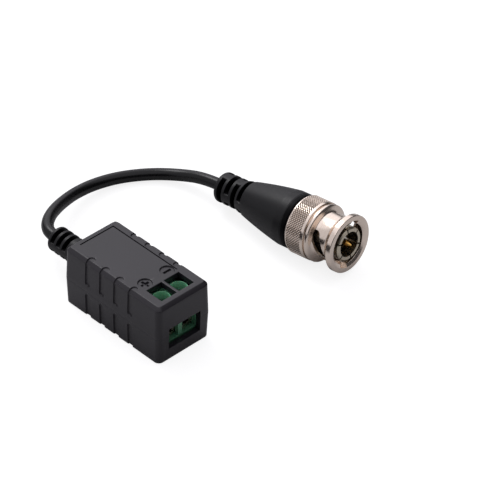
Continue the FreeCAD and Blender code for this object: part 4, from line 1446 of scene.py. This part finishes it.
    def nose(self) -> bpy.types.Object:
        """The nose with both tracks cut through it, in the plug's own frame.

        Returns:
            The nose.
        """
        table = turned(self.nose_outline(), circle(self.nose_columns))
        piece = make_piece("nose", table.reshape(-1, 3), [tube_faces(*table.shape[:2])])
        for entry in self.entries_deg:
            cutter = self.track_cutter(entry)
            cut = piece.modifiers.new("track", "BOOLEAN")
            cut.operation, cut.solver, cut.object = "DIFFERENCE", "EXACT", cutter
            evaluated = piece.evaluated_get(bpy.context.evaluated_depsgraph_get())
            mesh = bpy.data.meshes.new_from_object(evaluated)
            piece.modifiers.clear()
            piece.data = mesh
            bpy.data.objects.remove(cutter)
        return piece

    def build(self, plug: AxisFrame, paint: Paint) -> None:
        """The collar and the nose joined in one piece that turns with the nut.

        Args:
            plug: the plug's frame.
            paint: the materials.
        """
        collar, faces = self.collar_mesh()
        nose = self.nose()
        corners = read_all(nose.data.loops, "vertex_index", np.int32)
        totals = read_all(nose.data.polygons, "loop_total", np.int32)
        starts = np.cumsum(totals) - totals
        tables = [faces]
        for size in np.unique(totals):
            picked = starts[totals == size]
            tables.append(corners[picked[:, None] + np.arange(size)] + len(collar))
        points = np.concatenate([collar, mesh_points(nose.data)])
        bpy.data.objects.remove(nose)
        piece = make_piece("nut_shell", plug.place(points), tables, self.crease_deg)
        # Painted shade, dark brown and dull, down in the knurl's grooves.
        mark_painted_shade(piece, lambda at: self.painted_shade(*plug.own(at)))
        paint.dress(piece, TURNED_NICKEL)
        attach(piece, "coupling_nut")
        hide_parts("coupling_nut")
        LOG.info("%s: %d faces", piece.name, len(piece.data.polygons))


# Studio


@dataclass(frozen=True)
class LightPatch:
    """A soft patch of light far off: its middle, the cosines where it ends and is full, and its level."""

    towards: Triple
    low: float
    high: float
    level: float

    def strength(self, tree: bpy.types.NodeTree, way: bpy.types.NodeSocket) -> bpy.types.NodeSocket:
        """The patch's strength: a smooth step of the cosine between a direction and its middle.

        Args:
            tree: the world's nodes.
            way: the direction.

        Returns:
            The strength in each direction.
        """
        middle = tuple(Vector(self.towards).normalized())
        dot = add_node(tree, "ShaderNodeVectorMath", {"operation": "DOT_PRODUCT", 1: middle}, {0: way})
        step = {"interpolation_type": "SMOOTHSTEP", "From Min": self.low, "From Max": self.high,
                "To Max": self.level}
        return add_node(tree, "ShaderNodeMapRange", step, {"Value": dot.outputs["Value"]}).outputs["Result"]


@dataclass
class Studio:
    """Camera, floor, lamp and surroundings; places and sizes are in metres."""

    position: Triple = (0.373667, -0.342744, 0.424868)
    right: Triple = (0.69805, 0.71571, 0.02204)
    up: Triple = (-0.45912, 0.42375, 0.78079)
    lens: float = 216.0
    floor_half: float = 1.5
    floor_light: float = 0.82
    floor_seen: float = 0.3
    floor_bounce: float = 0.52
    back_left: LightPatch = LightPatch((-0.65, 0.35, 0.65), 0.72, 0.92, 1.3)
    overhead: LightPatch = LightPatch((0.0, 0.0, 1.0), 0.6, 0.76, 1.05)
    front_left: LightPatch = LightPatch((-0.5, -0.7, 0.5), 0.66, 0.9, 0.68)
    room: float = 0.06
    lamp_place: Triple = (-0.5, 0.1, 0.6)
    lamp_size: float = 0.3
    lamp_watts: float = 1.6
    lamp_aim: Triple = (0.0, 0.02, 0.005)

    def camera(self) -> None:
        """The camera, at the photograph's place and angle: 36 mm wide sensor."""
        data = bpy.data.cameras.new("camera")
        data.lens, data.sensor_width, data.clip_start, data.clip_end = self.lens, 36.0, 0.01, 10.0
        camera = add_object("camera", data)
        right, up = Vector(self.right), Vector(self.up)
        turn = Matrix((right, up, right.cross(up))).transposed().to_4x4()
        camera.matrix_world = Matrix.Translation(self.position) @ turn
        bpy.context.scene.camera = camera

    def floor(self) -> None:
        """A white floor that keeps a faint shadow: mostly its own light to the camera, plus a diffuse part.

        To all other rays it is a plain diffuse grey, so that the object's sides aren't lit too much.
        """
        half = self.floor_half
        points = np.array([(-half, -half, 0), (half, -half, 0), (half, half, 0), (-half, half, 0)], float)
        floor = make_piece("floor", points / MM, [np.array([[0, 1, 2, 3]])])
        material = bpy.data.materials.new("white_sweep")
        material.use_nodes = True
        tree = material.node_tree
        tree.nodes.clear()
        seen = add_node(tree, "ShaderNodeLightPath").outputs["Is Camera Ray"]
        diffuse = add_node(tree, "ShaderNodeBsdfDiffuse", {"Color": (*[self.floor_seen] * 3, 1.0)})
        glow = add_node(tree, "ShaderNodeEmission", {"Color": (1, 1, 1, 1), "Strength": self.floor_light})
        bright = add_node(tree, "ShaderNodeAddShader", {}, {0: diffuse.outputs[0], 1: glow.outputs[0]})
        plain = add_node(tree, "ShaderNodeBsdfDiffuse", {"Color": (*[self.floor_bounce] * 3, 1.0)})
        links = {0: seen, 1: plain.outputs[0], 2: bright.outputs[0]}
        mixed = add_node(tree, "ShaderNodeMixShader", {}, links)
        add_node(tree, "ShaderNodeOutputMaterial", {}, {0: mixed.outputs[0]})
        floor.data.materials.append(material)

    def surroundings(self) -> None:
        """White to the camera; to the object, a dim room with three patches of light.

        The broad ones are overhead and behind on the left, and a weaker one is in front on the left.
        Where patches meet, the stronger one counts. Shiny pieces mirror the patches and the dim room, so
        that the nickel shows both light and dark.
        """
        world = bpy.data.worlds.new("studio")
        bpy.context.scene.world = world
        world.use_nodes = True
        tree = world.node_tree
        tree.nodes.clear()
        way = add_node(tree, "ShaderNodeTexCoord").outputs["Generated"]
        total = self.back_left.strength(tree, way)
        for patch in (self.overhead, self.front_left):
            links = {0: total, 1: patch.strength(tree, way)}
            total = add_node(tree, "ShaderNodeMath", {"operation": "MAXIMUM"}, links).outputs[0]
        level = add_node(tree, "ShaderNodeMath", {"operation": "ADD", 1: self.room}, {0: total})
        dim = add_node(tree, "ShaderNodeBackground", {"Color": linear("#FAF8FF")},
                       {"Strength": level.outputs[0]})
        white = add_node(tree, "ShaderNodeBackground", {"Color": (1, 1, 1, 1), "Strength": 1.0})
        seen = add_node(tree, "ShaderNodeLightPath").outputs["Is Camera Ray"]
        mixed = add_node(tree, "ShaderNodeMixShader", {}, {0: seen, 1: dim.outputs[0], 2: white.outputs[0]})
        add_node(tree, "ShaderNodeOutputWorld", {}, {0: mixed.outputs[0]})

    def lamp(self) -> None:
        """A square area lamp behind on the left that looks at the object."""
        data = bpy.data.lights.new("key", "AREA")
        data.shape, data.size, data.energy = "SQUARE", self.lamp_size, self.lamp_watts
        lamp = add_object("key", data)
        lamp.location = self.lamp_place
        towards = Vector(self.lamp_aim) - Vector(self.lamp_place)
        lamp.rotation_euler = towards.to_track_quat("-Z", "Y").to_euler()

    def build(self) -> None:
        """Everything round the object."""
        self.camera()
        self.floor()
        self.surroundings()
        self.lamp()
        bpy.context.scene.view_settings.view_transform = "Standard"


def main() -> None:
    """Build the studio and every piece, in order."""
    logging.basicConfig(level=logging.INFO, format="%(name)s: %(message)s")
    plug = AxisFrame.of_plug()
    paint = Paint(plug, {})
    Studio().build()
    paint.dress_nodes()
    Housing().build(paint)
    Terminals().build(paint)
    cords = CordSet()
    relief = cords.strain_relief(paint)
    boot = cords.boot(plug, paint)
    CouplingNut().build(plug, paint)
    cords.cord(plug, paint, [relief, boot])


if __name__ == "__main__":
    main()
